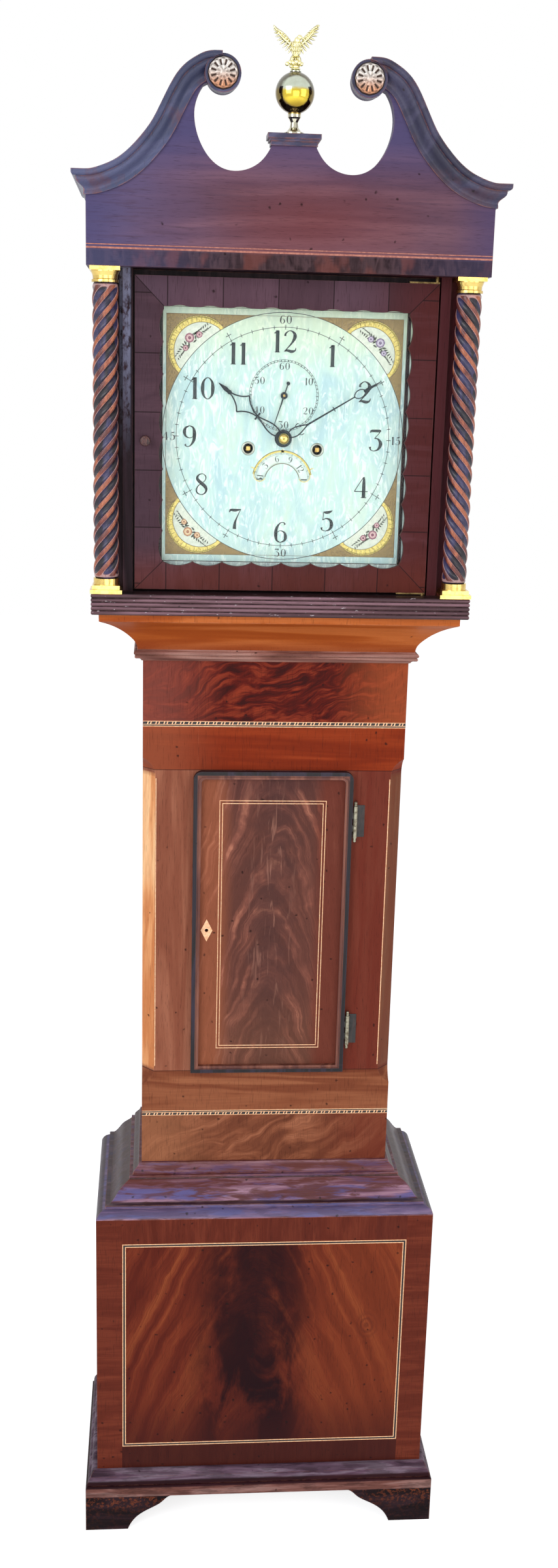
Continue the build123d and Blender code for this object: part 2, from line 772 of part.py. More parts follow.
def finial_ball():
    base = plinth_z + 14
    stem = [(0, 0), (13, 0), (13, 2), (9, 4), (5.5, 8), (4.5, 14), (6.5, 18), (8, 20), (8, 26), (0, 26)]
    body = turned(stem, 0, finial_y, base)
    ball = Pos(0, finial_y, ball_z) * Sphere(ball_radius)
    ring = [(0, 21.5), (7, 21.5), (7, 24.5), (5.5, 25.5), (0, 25.5)]
    return group(body + ball + turned(ring, 0, finial_y, ball_z))


def wing(side):
    outline = [(4, 2108), (10, 2112), (15, 2121), (19, 2129), (22.5, 2137), (26, 2145)]
    outline = outline + [(28.5, 2137), (28, 2128), (25, 2119), (20, 2111), (13, 2104), (6, 2101)]
    points = [(side * x, z) for x, z in outline]
    return front_slab(points, finial_y - 2.5, finial_y + 2.5)


def finial_eagle():
    floor = ball_z + 25.5
    base = turned([(0, 0), (6.5, 0), (6.5, 1.5), (4, 3), (0, 3)], 0, finial_y, floor)
    legs = rod_z(-3.2, finial_y, 1.8, floor + 2, floor + 12) + rod_z(3.2, finial_y, 1.8, floor + 2, floor + 12)
    body = [(0, -15), (4, -13), (7.5, -6), (8.5, 1), (7.5, 8), (5, 13), (3.8, 16), (0, 17)]
    torso = turned(body, 0, finial_y - 1, floor + 20)
    head = Pos(-1.5, finial_y - 3.5, floor + 39) * Sphere(4.6)
    beak = Pos(-4.5, finial_y - 7.5, floor + 37.5) * Rot(60, 0, -30) * Cone(2, 0.5, 6)
    tail = front_slab([(-5, floor + 2), (5, floor + 2), (4, floor + 16), (-4, floor + 16)], finial_y + 3, finial_y + 6.5)
    bird = base + legs + torso + head + beak + tail + wing(1) + wing(-1)
    return group(bird)


# Hood columns and their brasses
def front_columns():
    points = []
    count = 12 * twist_strands
    for index in range(count):
        angle = 2 * math.pi * index / count
        swell = math.sqrt(abs(math.cos(twist_strands * angle / 2)))
        radius = column_radius - twist_depth + twist_depth * swell
        points.append((radius * math.cos(angle), radius * math.sin(angle)))
    section = make_face(Spline(points, periodic=True))
    height = column_top - column_bottom
    outer = section.wire()
    twist = Solid.extrude_linear_with_rotation(outer, (0, 0, 0), (0, 0, height), -360 * height / twist_lead)
    right = Pos(column_x, column_y, column_bottom) * twist
    return group(both_sides(right))


def column_brasses():
    z = hood_base_top
    foot = block(column_x - 21, column_x + 21, column_y - 21, column_y + 21, z, z + 5)
    foot = foot + block(column_x - 18, column_x + 18, column_y - 18, column_y + 18, z + 5, z + 10.5)
    foot = foot + rod_z(column_x, column_y, column_radius, z + 10.5, column_bottom)
    bell = [(0, 0), (17.2, 0), (17.2, 3), (15.6, 4), (16, 8), (18, 13), (18, 14), (0, 14)]
    head = turned(bell, column_x, column_y, column_top)
    head = head + block(column_x - 19, column_x + 19, column_y - 19, column_y + 19, column_top + 14, frieze_bottom)
    return group(both_sides(foot), both_sides(head))


string_rise = 20.0
string_wide = 2.2
string_gap = 2.2
string_fine = 1.2


def frieze_stringing():
    y = trunk_front - frieze_out
    wide = trunk_half + frieze_out
    low = frieze_bottom + string_rise
    high = low + string_wide + string_gap
    lower = block(-wide, wide, y - inlay, y, low, low + string_wide)
    upper = block(-wide, wide, y - inlay, y, high, high + string_fine)
    return group(lower, upper)


# Hood door
def hdoor_opening():
    shape = block(-hdoor_open_half, hdoor_open_half, hdoor_front - 1, hdoor_back + 1, hdoor_open_low, hdoor_open_high)
    width = 2 * hdoor_open_half / lobe_count
    height = (hdoor_open_high - hdoor_open_low) / lobe_count
    across = (width * width / 4 + lobe_depth * lobe_depth) / (2 * lobe_depth)
    upright = (height * height / 4 + lobe_depth * lobe_depth) / (2 * lobe_depth)
    y0 = hdoor_front - 1
    y1 = hdoor_back + 1
    for index in range(lobe_count):
        x = -hdoor_open_half + (index + 0.5) * width
        z = hdoor_open_low + (index + 0.5) * height
        column = block(x - width / 2, x + width / 2, y0, y1, hdoor_open_low - 20, hdoor_open_high + 20)
        course = block(-hdoor_open_half - 20, hdoor_open_half + 20, y0, y1, z - height / 2, z + height / 2)
        shape = shape + (rod_y(x, hdoor_open_high + lobe_depth - across, across, y0, y1) & column)
        shape = shape + (rod_y(x, hdoor_open_low - lobe_depth + across, across, y0, y1) & column)
        shape = shape + (rod_y(hdoor_open_half + lobe_depth - upright, z, upright, y0, y1) & course)
        shape = shape + (rod_y(-hdoor_open_half - lobe_depth + upright, z, upright, y0, y1) & course)
    return shape


def hood_door_frame():
    body = block(-hdoor_half, hdoor_half, hdoor_front, hdoor_back, hdoor_low, hdoor_high)
    body = body - hdoor_opening()
    rebate = hdoor_open_half + glass_lap
    body = body - block(-rebate, rebate, glass_front, hdoor_back + 1, hdoor_open_low - glass_lap, hdoor_open_high + glass_lap)
    cut = hdoor_half - hdoor_open_half
    low = hdoor_low
    high = hdoor_high
    top = [(-hdoor_half, high), (-hdoor_half + cut, high - cut), (hdoor_half - cut, high - cut), (hdoor_half, high)]
    bottom = [(-hdoor_half, low), (hdoor_half, low), (hdoor_half - cut, low + cut), (-hdoor_half + cut, low + cut)]
    right = [(hdoor_half, low), (hdoor_half, high), (hdoor_half - cut, high - cut), (hdoor_half - cut, low + cut)]
    left = [(-x, z) for x, z in reversed(right)]
    rails = []
    for points in (top, bottom, right, left):
        rails.append(body & front_slab(points, hdoor_front - 1, hdoor_back + 1))
    return group(rails)


def hood_door_glass():
    half = hdoor_open_half + glass_lap - 0.5
    low = hdoor_open_low - glass_lap + 0.5
    high = hdoor_open_high + glass_lap - 0.5
    return group(block(-half, half, glass_front, glass_front + glass_thick, low, high))


def hood_door_brasses():
    parts = []
    for z0, z1, p0, p1 in ((hdoor_high, hdoor_high + 2, hdoor_high, frieze_bottom + 6), (hdoor_low - 2, hdoor_low, hood_base_top - 8, hdoor_low)):
        strap = block(hdoor_axis_x - 36, hdoor_half, hdoor_front + 1, hdoor_front + 9, z0, z1)
        parts.append(strap + rod_z(hdoor_axis_x, hdoor_axis_y, pin_radius, p0, p1))
    knob = [(0, 0), (6, 0), (6, 1.2), (2.6, 2.2), (2.4, 6), (5.5, 8.5), (7, 12), (6, 14.8), (3, 16), (0, 16.2)]
    parts.append(turned_y(knob, -182, hdoor_front, 1646))
    return group(parts)


# Dial
def calendar_opening(y0, y1):
    outer = 37.7
    inner = 23.5
    middle = (outer + inner) / 2
    half_width = (outer - inner) / 2
    reach = 76.0
    ring = rod_y(0, calendar_z, outer, y0, y1) - rod_y(0, calendar_z, inner, y0 - 1, y1 + 1)
    far = 80.0
    angle = math.radians(reach)
    fan = [(0, calendar_z), (far * math.sin(angle), calendar_z + far * math.cos(angle)), (60, calendar_z + 70)]
    fan = fan + [(-60, calendar_z + 70), (-far * math.sin(angle), calendar_z + far * math.cos(angle))]
    band = ring & front_slab(fan, y0, y1)
    for sign in (-1, 1):
        x = sign * middle * math.sin(angle)
        z = calendar_z + middle * math.cos(angle)
        band = band + rod_y(x, z, half_width, y0, y1)
    return band


def dial():
    back = dial_front + dial_thick
    body = block(-dial_half, dial_half, dial_front, back, hands_z - dial_half, hands_z + dial_half)
    body = body - rod_y(0, hands_z, 6, dial_front - 1, back + 1)
    body = body - rod_y(0, seconds_z, 2.2, dial_front - 1, back + 1)
    body = body - rod_y(winding_x, winding_z, winding_hole, dial_front - 1, back + 1)
    body = body - rod_y(-winding_x, winding_z, winding_hole, dial_front - 1, back + 1)
    body = body - calendar_opening(dial_front - 1, back + 1)
    for x, z in ((-75, 1740), (75, 1740), (-75, 1590), (75, 1590)):
        body = body + rod_y(x, z, 3, back, front_plate[0])
    return group(body)


# Hands, drawn pointing up and turned to the photographed time
def turn_hand(shape, z, angle):
    return Pos(0, 0, z) * Rot(0, angle, 0) * shape


def arc_strip(points, width, y0, y1):
    path = Spline(points)
    upper = []
    lower = []
    steps = 16
    for index in range(steps + 1):
        at = path @ (index / steps)
        way = path % (index / steps)
        upper.append((at.X - way.Y * width / 2, at.Y + way.X * width / 2))
        lower.append((at.X + way.Y * width / 2, at.Y - way.X * width / 2))
    return front_slab(upper + list(reversed(lower)), y0, y1)


def hour_hand():
    y0 = -62.4
    y1 = -61.4
    hand = rod_y(0, 0, 11.3, y0, y1)
    for sign in (-1, 1):
        loop = [(sign * 4, 10), (sign * 5.8, 20), (sign * 3.4, 32), (sign * 0.5, 43)]
        hand = hand + arc_strip(loop, 1.8, y0, y1)
        flare = [(sign * 0.6, 43), (sign * 2.5, 54), (sign * 6.5, 62), (sign * 13.4, 69.5)]
        hand = hand + arc_strip(flare, 1.8, y0, y1)
        close = [(sign * 13.4, 69.5), (sign * 6.5, 76.5), (sign * 2.6, 84), (sign * 0.5, 92)]
        hand = hand + arc_strip(close, 1.8, y0, y1)
    hand = hand + block(-5.5, 5.5, y0, y1, 43.4, 45.8)
    hand = hand + rod_y(0, 92.5, 3, y0, y1)
    hand = hand + front_slab([(-1.3, 90), (1.3, 90), (3, 99), (0.3, 111), (-0.3, 111), (-3, 99)], y0, y1)
    pipe = rod_y(0, 0, 5.2, y0, -33)
    plate = wheel(hour_teeth, hour_module, phase_hour + hour_angle, 0, 0, -36, -34, 9)
    body = hand + pipe + plate
    body = body - rod_y(0, 0, 3.7, -70, -30)
    return group(turn_hand(body, hands_z, hour_angle))


def minute_hand():
    y0 = -66.6
    y1 = -65.6
    hand = rod_y(0, 0, 10.2, y0 - 0.8, y1 + 0.6)
    for sign in (-1, 1):
        loop = [(sign * 3, 9), (sign * 5.6, 17), (sign * 3.6, 27), (sign * 0.5, 36)]
        hand = hand + arc_strip(loop, 1.5, y0, y1)
        barb = [(sign * 5, 21), (sign * 7.6, 24), (sign * 7.2, 27)]
        hand = hand + arc_strip(barb, 1.0, y0, y1)
        moon = [(sign * 0.4, 108), (sign * 4.8, 113.5), (sign * 4.6, 119), (sign * 1.2, 124)]
        hand = hand + arc_strip(moon, 1.3, y0, y1)
    hand = hand + front_slab([(-1.2, 34), (1.2, 34), (0.8, 109), (-0.8, 109)], y0, y1)
    hand = hand + block(-3.4, 3.4, y0, y1, 76.1, 77.3)
    hand = hand + front_slab([(-1.4, 122), (1.4, 122), (2.2, 128), (0.3, 148), (-0.3, 148), (-2.2, 128)], y0, y1)
    boss = turned_y([(0, 0), (7.1, 0), (6.6, 1.6), (4.8, 3), (2.4, 3.8), (0, 4)], 0, y0 - 0.8, 0)
    pipe = rod_y(0, 0, 3.6, y1, -26)
    cannon = wheel(motion_teeth, motion_module, phase_cannon + minute_angle, 0, 0, -31, -29, 7, 0)
    body = hand + boss + pipe + cannon
    body = body - rod_y(0, 0, 2.2, -60, -20)
    return group(turn_hand(body, hands_z, minute_angle))


def seconds_hand():
    y0 = -58.2
    y1 = -57.4
    hand = rod_y(0, 0, 4.6, y0, y1) + front_slab([(-1, 0), (1, 0), (0.3, 43), (-0.3, 43)], y0, y1)
    hand = hand + front_slab([(-0.7, 0), (0.7, 0), (0.7, -15), (-0.7, -15)], y0, y1)
    hand = hand + rod_y(0, -16.5, 2.4, y0, y1)
    hand = hand - rod_y(0, 0, 1.55, y0 - 1, y1 + 1)
    return group(turn_hand(hand, seconds_z, seconds_angle))


# Going train
def plate_arbor(x, z):
    body = rod_y(x, z, arbor_radius, front_plate[1] + 0.4, back_plate[0] - 0.4)
    return body + rod_y(x, z, pivot_radius, front_plate[0], back_plate[1])


def centre_arbor():
    body = plate_arbor(0, hands_z) + rod_y(0, hands_z, 2.15, -59, front_plate[0])
    body = body + wheel(centre_pinion, great_module, phase_centre_pinion, 0, hands_z, -18.5, -14, 2, 0)
    body = body + wheel(centre_teeth, centre_module, phase_centre, 0, hands_z, 26, 28, 5)
    return group(body)


def third_arbor():
    body = plate_arbor(third_x, third_z)
    body = body + wheel(third_pinion, centre_module, phase_third_pinion, third_x, third_z, 24.5, 29.5, 2, 0)
    body = body + wheel(third_teeth, third_module, phase_third, third_x, third_z, 12, 14, 4.5)
    return group(body)


def escape_arbor():
    body = plate_arbor(0, seconds_z) + rod_y(0, seconds_z, 1.5, -58.8, front_plate[0])
    body = body + wheel(escape_pinion, third_module, phase_escape_pinion, 0, seconds_z, 10.5, 15.5, 1.8, 0)
    points = []
    for index in range(30):
        for radius, share in ((22.0, 0.0), (18.0, 0.28), (18.0, 0.86)):
            angle = 2 * math.pi * (index + share) / 30
            points.append((radius * math.cos(angle), seconds_z + radius * math.sin(angle)))
    crown = front_slab(points, 34, 35.5) - rod_y(0, seconds_z, 16, 33, 37)
    for index in range(4):
        crown = crown + Pos(0, 0, seconds_z) * Rot(0, 90 * index + 45, 0) * block(0, 17, 34, 35.5, -1.1, 1.1)
    return group(body + crown)


def great_wheel(x, teeth, module, phase, y0, y1):
    body = wheel(teeth, module, phase, x, winding_z, y0, y1, 11)
    return group(body - rod_y(x, winding_z, 4 + play, y0 - 1, y1 + 1))


def going_great_wheel():
    return great_wheel(winding_x, great_teeth, great_module, phase_great, -17.5, -15)


def strike_great_wheel():
    return great_wheel(-winding_x, strike_teeth, strike_module, phase_strike, -12.5, -10)


def barrel(x, low):
    drum = rod_y(x, winding_z, barrel_radius, low + 1.5, 22) + rod_y(x, winding_z, 31, low, low + 1.5)
    drum = drum + rod_y(x, winding_z, 31, 22, 23.5)
    core = rod_y(x, winding_z, 4, front_plate[0] - 0.5, back_plate[0] - 0.4)
    core = core + rod_y(x, winding_z, 3, back_plate[0] - 1, back_plate[1])
    square = block(x - 2.5, x + 2.5, dial_front + 0.5, front_plate[0], winding_z - 2.5, winding_z + 2.5)
    body = drum + core + square
    for index in range(3):
        ring = Torus(barrel_radius + line_radius, line_radius)
        body = body + Pos(x, line_y + 2.4 + 2.2 * index, winding_z) * Rot(90, 0, 0) * ring
    return group(body)


def going_barrel():
    return barrel(winding_x, -13)


def strike_barrel():
    return barrel(-winding_x, -8)


def minute_wheel():
    body = wheel(motion_teeth, motion_module, phase_minute, motion_x, motion_z, -31, -29, 5, 0)
    body = body + rod_y(motion_x, motion_z, 2.2, -32, -25)
    body = body + wheel(minute_pinion, hour_module, phase_minute_pinion, motion_x, motion_z, -37, -31, 1.6, 0)
    return group(body - rod_y(motion_x, motion_z, 1 + play, -40, -20))


def calendar_disc():
    body = rod_y(0, calendar_z, 40.5, -51.9, -51.1) + rod_y(0, calendar_z, 5, -51.9, -48)
    return group(body - rod_y(0, calendar_z, 1.5 + play, -60, -40))


# Strike train
def pin_wheel_arbor():
    body = plate_arbor(pin_x, pin_z)
    body = body + wheel(pin_pinion, strike_module, phase_pin_pinion, pin_x, pin_z, -13.5, -9, 2, 0)
    body = body + wheel(pin_teeth, pin_module, phase_pin, pin_x, pin_z, 26, 28, 5)
    for index in range(pin_count):
        angle = math.radians(360.0 / pin_count * index + 20)
        x = pin_x + pin_circle * math.cos(angle)
        body = body + rod_y(x, pin_z + pin_circle * math.sin(angle), 0.9, 27, 32)
    return group(body)


def gathering_arbor():
    body = plate_arbor(gather_x, gather_z)
    body = body + wheel(gather_pinion, pin_module, phase_gather_pinion, gather_x, gather_z, 24.5, 29.5, 2, 0)
    body = body + wheel(gather_teeth, gather_module, phase_gather, gather_x, gather_z, 4, 6, 4.5)
    return group(body)


def fly_arbor():
    body = plate_arbor(fly_x, fly_z)
    body = body + wheel(fly_pinion, gather_module, phase_fly, fly_x, fly_z, 2.5, 7.5, 1.8, 0)
    return group(body + block(fly_x - 14, fly_x + 14, 10, 34, fly_z - 0.5, fly_z + 0.5))


# Escapement and pendulum
def anchor():
    body = rod_y(0, swing_z, 2, front_plate[1] + 0.4, 52)
    body = body + rod_y(0, swing_z, pivot_radius, front_plate[0], 54)
    for sign in (-1, 1):
        arm = [(sign * 0, swing_z + 5), (sign * 15, swing_z - 8), (sign * 25, swing_z - 20), (sign * 23, swing_z - 27)]
        arm = arm + [(sign * 20.5, swing_z - 25), (sign * 19.5, swing_z - 18), (sign * 9, swing_z - 8), (0, swing_z - 4)]
        body = body + front_slab(arm, 33.5, 36)
    crutch = block(-1.2, 1.2, 48, 50.4, 1692, swing_z)
    fork = block(-6, 6, 48, 50.4, 1688, 1692)
    prongs = block(3.2, 5, 50.4, pendulum_y + 4, 1688, 1692) + block(-5, -3.2, 50.4, pendulum_y + 4, 1688, 1692)
    return group(body + crutch + fork + prongs)


def pendulum_rod():
    spring = block(-0.3, 0.3, pendulum_y - 4, pendulum_y + 4, 1722, swing_z - 0.3)
    block_piece = block(-2.6, 2.6, pendulum_y - 4.5, pendulum_y + 4.5, 1708, 1724)
    rod = rod_z(0, pendulum_y, rod_radius, 662, 1710)
    return group(spring + block_piece + rod)


def pendulum_bob():
    points = [(0, 0), (bob_radius, 0), (bob_radius - 3, 3), (44, 7.5), (30, 11.5), (12, bob_thick / 2), (0, bob_thick / 2)]
    half = turned_y(points, 0, pendulum_y, bob_z)
    lens = half + mirror(half, Plane(origin=(0, pendulum_y, 0), z_dir=(0, 1, 0)))
    return group(lens - rod_z(0, pendulum_y, rod_radius + play, bob_z - 60, bob_z + 60))


def rating_nut():
    body = rod_z(0, pendulum_y, 11, 683.5, 690) + rod_z(0, pendulum_y, 6, 690, bob_z - bob_radius)
    return group(body - rod_z(0, pendulum_y, rod_radius + play, 680, 700))


# Striking work
def hammer():
    x = hammer_x
    z = hammer_z
    body = rod_y(x, z, arbor_radius, front_plate[1] + 0.4, back_plate[0] - 0.4)
    body = body + rod_y(x, z, pivot_radius, front_plate[0], back_plate[1])
    stem = block(x - 1.2, x + 1.2, 8.8, 11.2, z, 1778)
    head = rod_x(10, 1780, 6, x - 9, x + 9)
    tail = block(x - 1, x + 1, 30, 32, z - hammer_tail, z)
    return group(body + stem + head + tail)


def bell():
    outer = [(0, 0), (56, 0), (54, 12), (47, 28), (34, 40), (18, 46), (0, 48)]
    inner = [(0, -1), (52.5, -1), (50.8, 12), (44, 26), (32, 37), (17, 43), (0, 45)]
    cup = turned(outer, 0, 10, 1774) - turned(inner, 0, 10, 1774)
    post = rod_z(0, 10, 3, plate_top + 4, 1828)
    return group(cup + post + rod_z(0, 10, 5.5, 1820, 1825))


def movement_frame():
    parts = []
    holes = [(0, hands_z), (third_x, third_z), (0, seconds_z), (pin_x, pin_z), (gather_x, gather_z), (fly_x, fly_z)]
    holes = holes + [(0, swing_z), (hammer_x, hammer_z)]
    for y0, y1 in (front_plate, back_plate):
        plate = block(-plate_half, plate_half, y0, y1, seat_top, plate_top)
        for x, z in holes:
            plate = plate - rod_y(x, z, pivot_radius + play, y0 - 1, y1 + 1)
        for sign in (-1, 1):
            bore = 4 + play if y0 < 0 else 3 + play
            plate = plate - rod_y(sign * winding_x, winding_z, bore, y0 - 1, y1 + 1)
        parts.append(plate)
    parts[0] = parts[0] - rod_y(0, hands_z, 2.15 + play, front_plate[0] - 1, front_plate[0] + 1)
    parts[0] = parts[0] - rod_y(0, seconds_z, 1.5 + play, front_plate[0] - 1, front_plate[0] + 1)
    parts[1] = parts[1] - rod_y(0, swing_z, 2.4, back_plate[0] - 1, back_plate[1] + 1)
    frame = parts[0] + parts[1]
    for x, z in ((-78, 1592), (78, 1592), (-78, 1754), (78, 1754)):
        frame = frame + rod_y(x, z, 5, front_plate[1], back_plate[0])
    cock = block(-22, 22, back_plate[1], back_plate[1] + 9.6, swing_z + 8, swing_z + 16)
    cock = cock + block(-22, 22, 52.6, 55, swing_z - 8, swing_z + 16)
    cock = cock - rod_y(0, swing_z, pivot_radius + play, 50, 56)
    cock = cock + block(-5, 5, 55, pendulum_y + 5, swing_z + 4, swing_z + 12)
    cock = cock + block(-5, 5, pendulum_y - 5, pendulum_y + 5, swing_z, swing_z + 6)
    frame = frame + cock
    frame = frame + block(-4, 4, front_plate[1], back_plate[0], plate_top - 4, plate_top + 4)
    for sign in (-1, 1):
        x = sign * seat_bolt_x
        frame = frame + block(x - 5, x + 5, front_plate[1], back_plate[0], seat_top, seat_top + 5)
        frame = frame + rod_z(x, seat_bolt_y, 2.5, seat_under - 10, seat_top + 2)
        frame = frame + rod_z(x, seat_bolt_y, 7, seat_under - 9, seat_under)
    frame = frame + rod_y(motion_x, motion_z, 1, -38, front_plate[0])
    frame = frame + rod_y(motion_x, motion_z, 1.9, -38.5, -37.3)
    frame = frame + rod_y(0, calendar_z, 1.5, -52.8, front_plate[0])
    frame = frame + rod_y(0, calendar_z, 3, -47.6, front_plate[0])
    return group(frame)


# Weights, pulleys and gut lines
def weight(side):
    x = pulley_x(side)
    points = [(0, 0), (28, 0), (weight_radius, 3), (weight_radius, 204), (27, 210), (0, 210)]
    body = turned(points, x, line_y, weight_low)
    body = body + rod_z(x, line_y, 2.5, weight_high - 2, weight_high + 18)
    strap = block(x - 4, x + 4, line_y - 6.5, line_y + 6.5, weight_high + 14, weight_high + 18)
    for sign in (-1, 1):
        y0 = line_y + sign * 5.5
        strap = strap + block(x - 4, x + 4, y0 - 1, y0 + 1, weight_high + 14, pulley_z + 6)
    strap = strap + rod_y(x, pulley_z, 2, line_y - 7.5, line_y + 7.5)
    return group(body + strap)


def pulley(side):
    x = pulley_x(side)
    groove = pulley_line_radius - line_radius
    points = [(0, -3.5), (groove + 3, -3.5), (groove + 3, -2.6), (groove, -1.2), (groove, 1.2), (groove + 3, 2.6)]
    points = points + [(groove + 3, 3.5), (0, 3.5)]
    body = turned_y(points, x, line_y, pulley_z)
    return group(body - rod_y(x, pulley_z, 2 + play, line_y - 5, line_y + 5))


def line(side):
    outer = barrel_run(side)
    inner = fixed_run(side)
    middle = pulley_x(side)
    body = rod_z(outer, line_y, line_radius, pulley_z, winding_z)
    body = body + rod_z(inner, line_y, line_radius, pulley_z, seat_top + 2)
    loop = Pos(middle, line_y, pulley_z) * Rot(90, 0, 0) * Torus(pulley_line_radius, line_radius)
    loop = loop - block(middle - 40, middle + 40, line_y - 5, line_y + 5, pulley_z, pulley_z + 40)
    knot = Pos(inner, line_y, seat_top + 2.6) * Sphere(2.6)
    return group(body + loop + knot)


nodes = {
    "backboard": backboard,
    "base_panels": base_panels,
    "base_top_moulding": base_top_moulding,
    "foot_moulding_and_feet": foot_moulding_and_feet,
    "trunk_sides_and_seat_board": trunk_sides_and_seat_board,
    "trunk_front_frame": trunk_front_frame,
    "throat_moulding": throat_moulding,
    "case_inlay": case_inlay,
    "trunk_hinge_leaves": trunk_hinge_leaves,
    "trunk_door_panel": trunk_door_panel,
    "trunk_door_moulding": trunk_door_moulding,
    "trunk_door_inlay": trunk_door_inlay,
    "trunk_door_lock": trunk_door_lock,
    "trunk_door_hinge_leaves": trunk_door_hinge_leaves,
    "lock_bolt": lock_bolt,
    "hood_carcass": hood_carcass,
    "hood_base_frame": hood_base_frame,
    "dial_mask": dial_mask,
    "pediment_board": pediment_board,
    "cornice_mouldings": cornice_mouldings,
    "rosettes": rosettes,
    "plinth_cap": plinth_cap,
    "finial_ball": finial_ball,
    "finial_eagle": finial_eagle,
    "front_columns": front_columns,
    "column_brasses": column_brasses,
    "frieze_stringing": frieze_stringing,
    "hood_door_frame": hood_door_frame,
    "hood_door_glass": hood_door_glass,
    "hood_door_brasses": hood_door_brasses,
    "dial": dial,
    "hour_hand": hour_hand,
    "minute_hand": minute_hand,
    "seconds_hand": seconds_hand,
    "centre_arbor": centre_arbor,
    "third_arbor": third_arbor,
    "escape_arbor": escape_arbor,
    "going_great_wheel": going_great_wheel,
    "strike_great_wheel": strike_great_wheel,
    "going_barrel": going_barrel,
    "strike_barrel": strike_barrel,
    "minute_wheel": minute_wheel,
    "calendar_disc": calendar_disc,
    "pin_wheel_arbor": pin_wheel_arbor,
    "gathering_arbor": gathering_arbor,
    "fly_arbor": fly_arbor,
    "anchor": anchor,
    "pendulum_rod": pendulum_rod,
    "pendulum_bob": pendulum_bob,
    "rating_nut": rating_nut,
    "hammer": hammer,
    "bell": bell,
    "movement_frame": movement_frame,
    "going_weight": lambda: weight(1),
    "strike_weight": lambda: weight(-1),
    "going_pulley": lambda: pulley(1),
    "strike_pulley": lambda: pulley(-1),
    "going_line": lambda: line(1),
    "strike_line": lambda: line(-1),
}

os.makedirs("parts", exist_ok=True)
for name, make in nodes.items():
    print(name, flush=True)
    export_step(make(), "parts/" + name + ".step")
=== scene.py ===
import math
import bmesh
import bpy
from mathutils import Matrix, Vector


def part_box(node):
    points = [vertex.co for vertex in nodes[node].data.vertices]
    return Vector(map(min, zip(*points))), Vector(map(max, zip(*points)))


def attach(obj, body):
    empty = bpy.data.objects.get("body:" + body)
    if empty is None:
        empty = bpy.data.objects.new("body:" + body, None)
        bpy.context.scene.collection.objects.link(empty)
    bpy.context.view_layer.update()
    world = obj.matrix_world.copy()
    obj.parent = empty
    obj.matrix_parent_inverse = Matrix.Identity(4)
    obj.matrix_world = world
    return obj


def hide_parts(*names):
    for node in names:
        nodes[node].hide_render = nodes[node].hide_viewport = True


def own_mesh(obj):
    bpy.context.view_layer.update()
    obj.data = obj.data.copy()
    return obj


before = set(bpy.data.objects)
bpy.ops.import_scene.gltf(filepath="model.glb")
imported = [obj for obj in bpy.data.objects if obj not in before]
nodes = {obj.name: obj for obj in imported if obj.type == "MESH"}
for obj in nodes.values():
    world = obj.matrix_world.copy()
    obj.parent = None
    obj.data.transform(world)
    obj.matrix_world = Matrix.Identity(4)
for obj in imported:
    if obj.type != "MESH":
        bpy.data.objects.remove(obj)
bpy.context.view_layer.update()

# Places and sizes on the clock, in metres, as the solids have them
dial_face = -0.0550
hands_z = 1.6515
seconds_z = hands_z + 0.055
calendar_z = hands_z - 0.056
paint_gap = 0.00012
winding_holes = [(-0.046, 1.6375), (0.046, 1.6375)]
square_half = 0.1550
minute_ring = 0.1415
outer_ring = 0.1602
seconds_ring = 0.0452
numeral_ring = 0.1238
numeral_height = 0.0280
paint_level = dial_face - paint_gap
calendar_face = -0.0519
column_side = 0.2325
column_depth = -0.0930
twist_lead = 0.1060
twist_strands = 5
rosette_side = 0.089
rosette_z = 2.083
ball_centre = (0.0, -0.107, 2.067)
eagle_depth = -0.1070
eagle_floor = 2.0925
band_above_z = 1.261
band_below_z = 0.663
trunk_half = 0.1843
trunk_face = -0.0450
base_face = -0.1110
base_field = (0.2125, 0.1355, 0.4855)
base_spine = 0.014
reed_foot = 1.421
door_half_width = 0.1955
door_half_height = 0.19925
door_centre_z = 1.65175
upper_rail_z = 1.1935
lower_rail_z = 0.7328
knot_spot = (0.158, 0.341)
hinge_line = 0.1175
reed_pitch = 0.0056
margin_outer = 0.1775
margin_inner = 0.1640

# Ways that the grain runs
along_height = (0.0, 0.0, 1.0)
along_width = (1.0, 0.0, 0.0)

# Camera


def aim_camera():
    right = Vector((0.99691573, -0.07426004, 0.02538637))
    up = Vector((-0.00527303, 0.25936556, 0.96576483))
    back = right.cross(up)
    turn = Matrix((right, up, back)).transposed().to_4x4()
    camera = bpy.data.objects.new("studio_camera", bpy.data.cameras.new("studio_camera"))
    bpy.context.scene.collection.objects.link(camera)
    camera.matrix_world = Matrix.Translation((-0.16234, -2.13653, 1.73433)) @ turn
    camera.data.sensor_fit = "VERTICAL"
    camera.data.sensor_height = 36.0
    camera.data.lens = 35.24
    camera.data.clip_start = 0.05
    camera.data.clip_end = 60.0
    bpy.context.scene.camera = camera
    bpy.context.scene.view_settings.view_transform = "Standard"

# Soft lamps


def soft_lamp(name, place, target, size, power, colour):
    lamp = bpy.data.lights.new(name, "AREA")
    lamp.shape = "RECTANGLE"
    lamp.size = size[0]
    lamp.size_y = size[1]
    lamp.energy = power
    lamp.color = colour
    made = bpy.data.objects.new(name, lamp)
    bpy.context.scene.collection.objects.link(made)
    made.location = place
    made.rotation_euler = (Vector(target) - Vector(place)).to_track_quat("-Z", "Y").to_euler()
    return made

# Node helpers, which all add to the node tree that was opened last


def open_tree(other):
    global tree
    tree = other


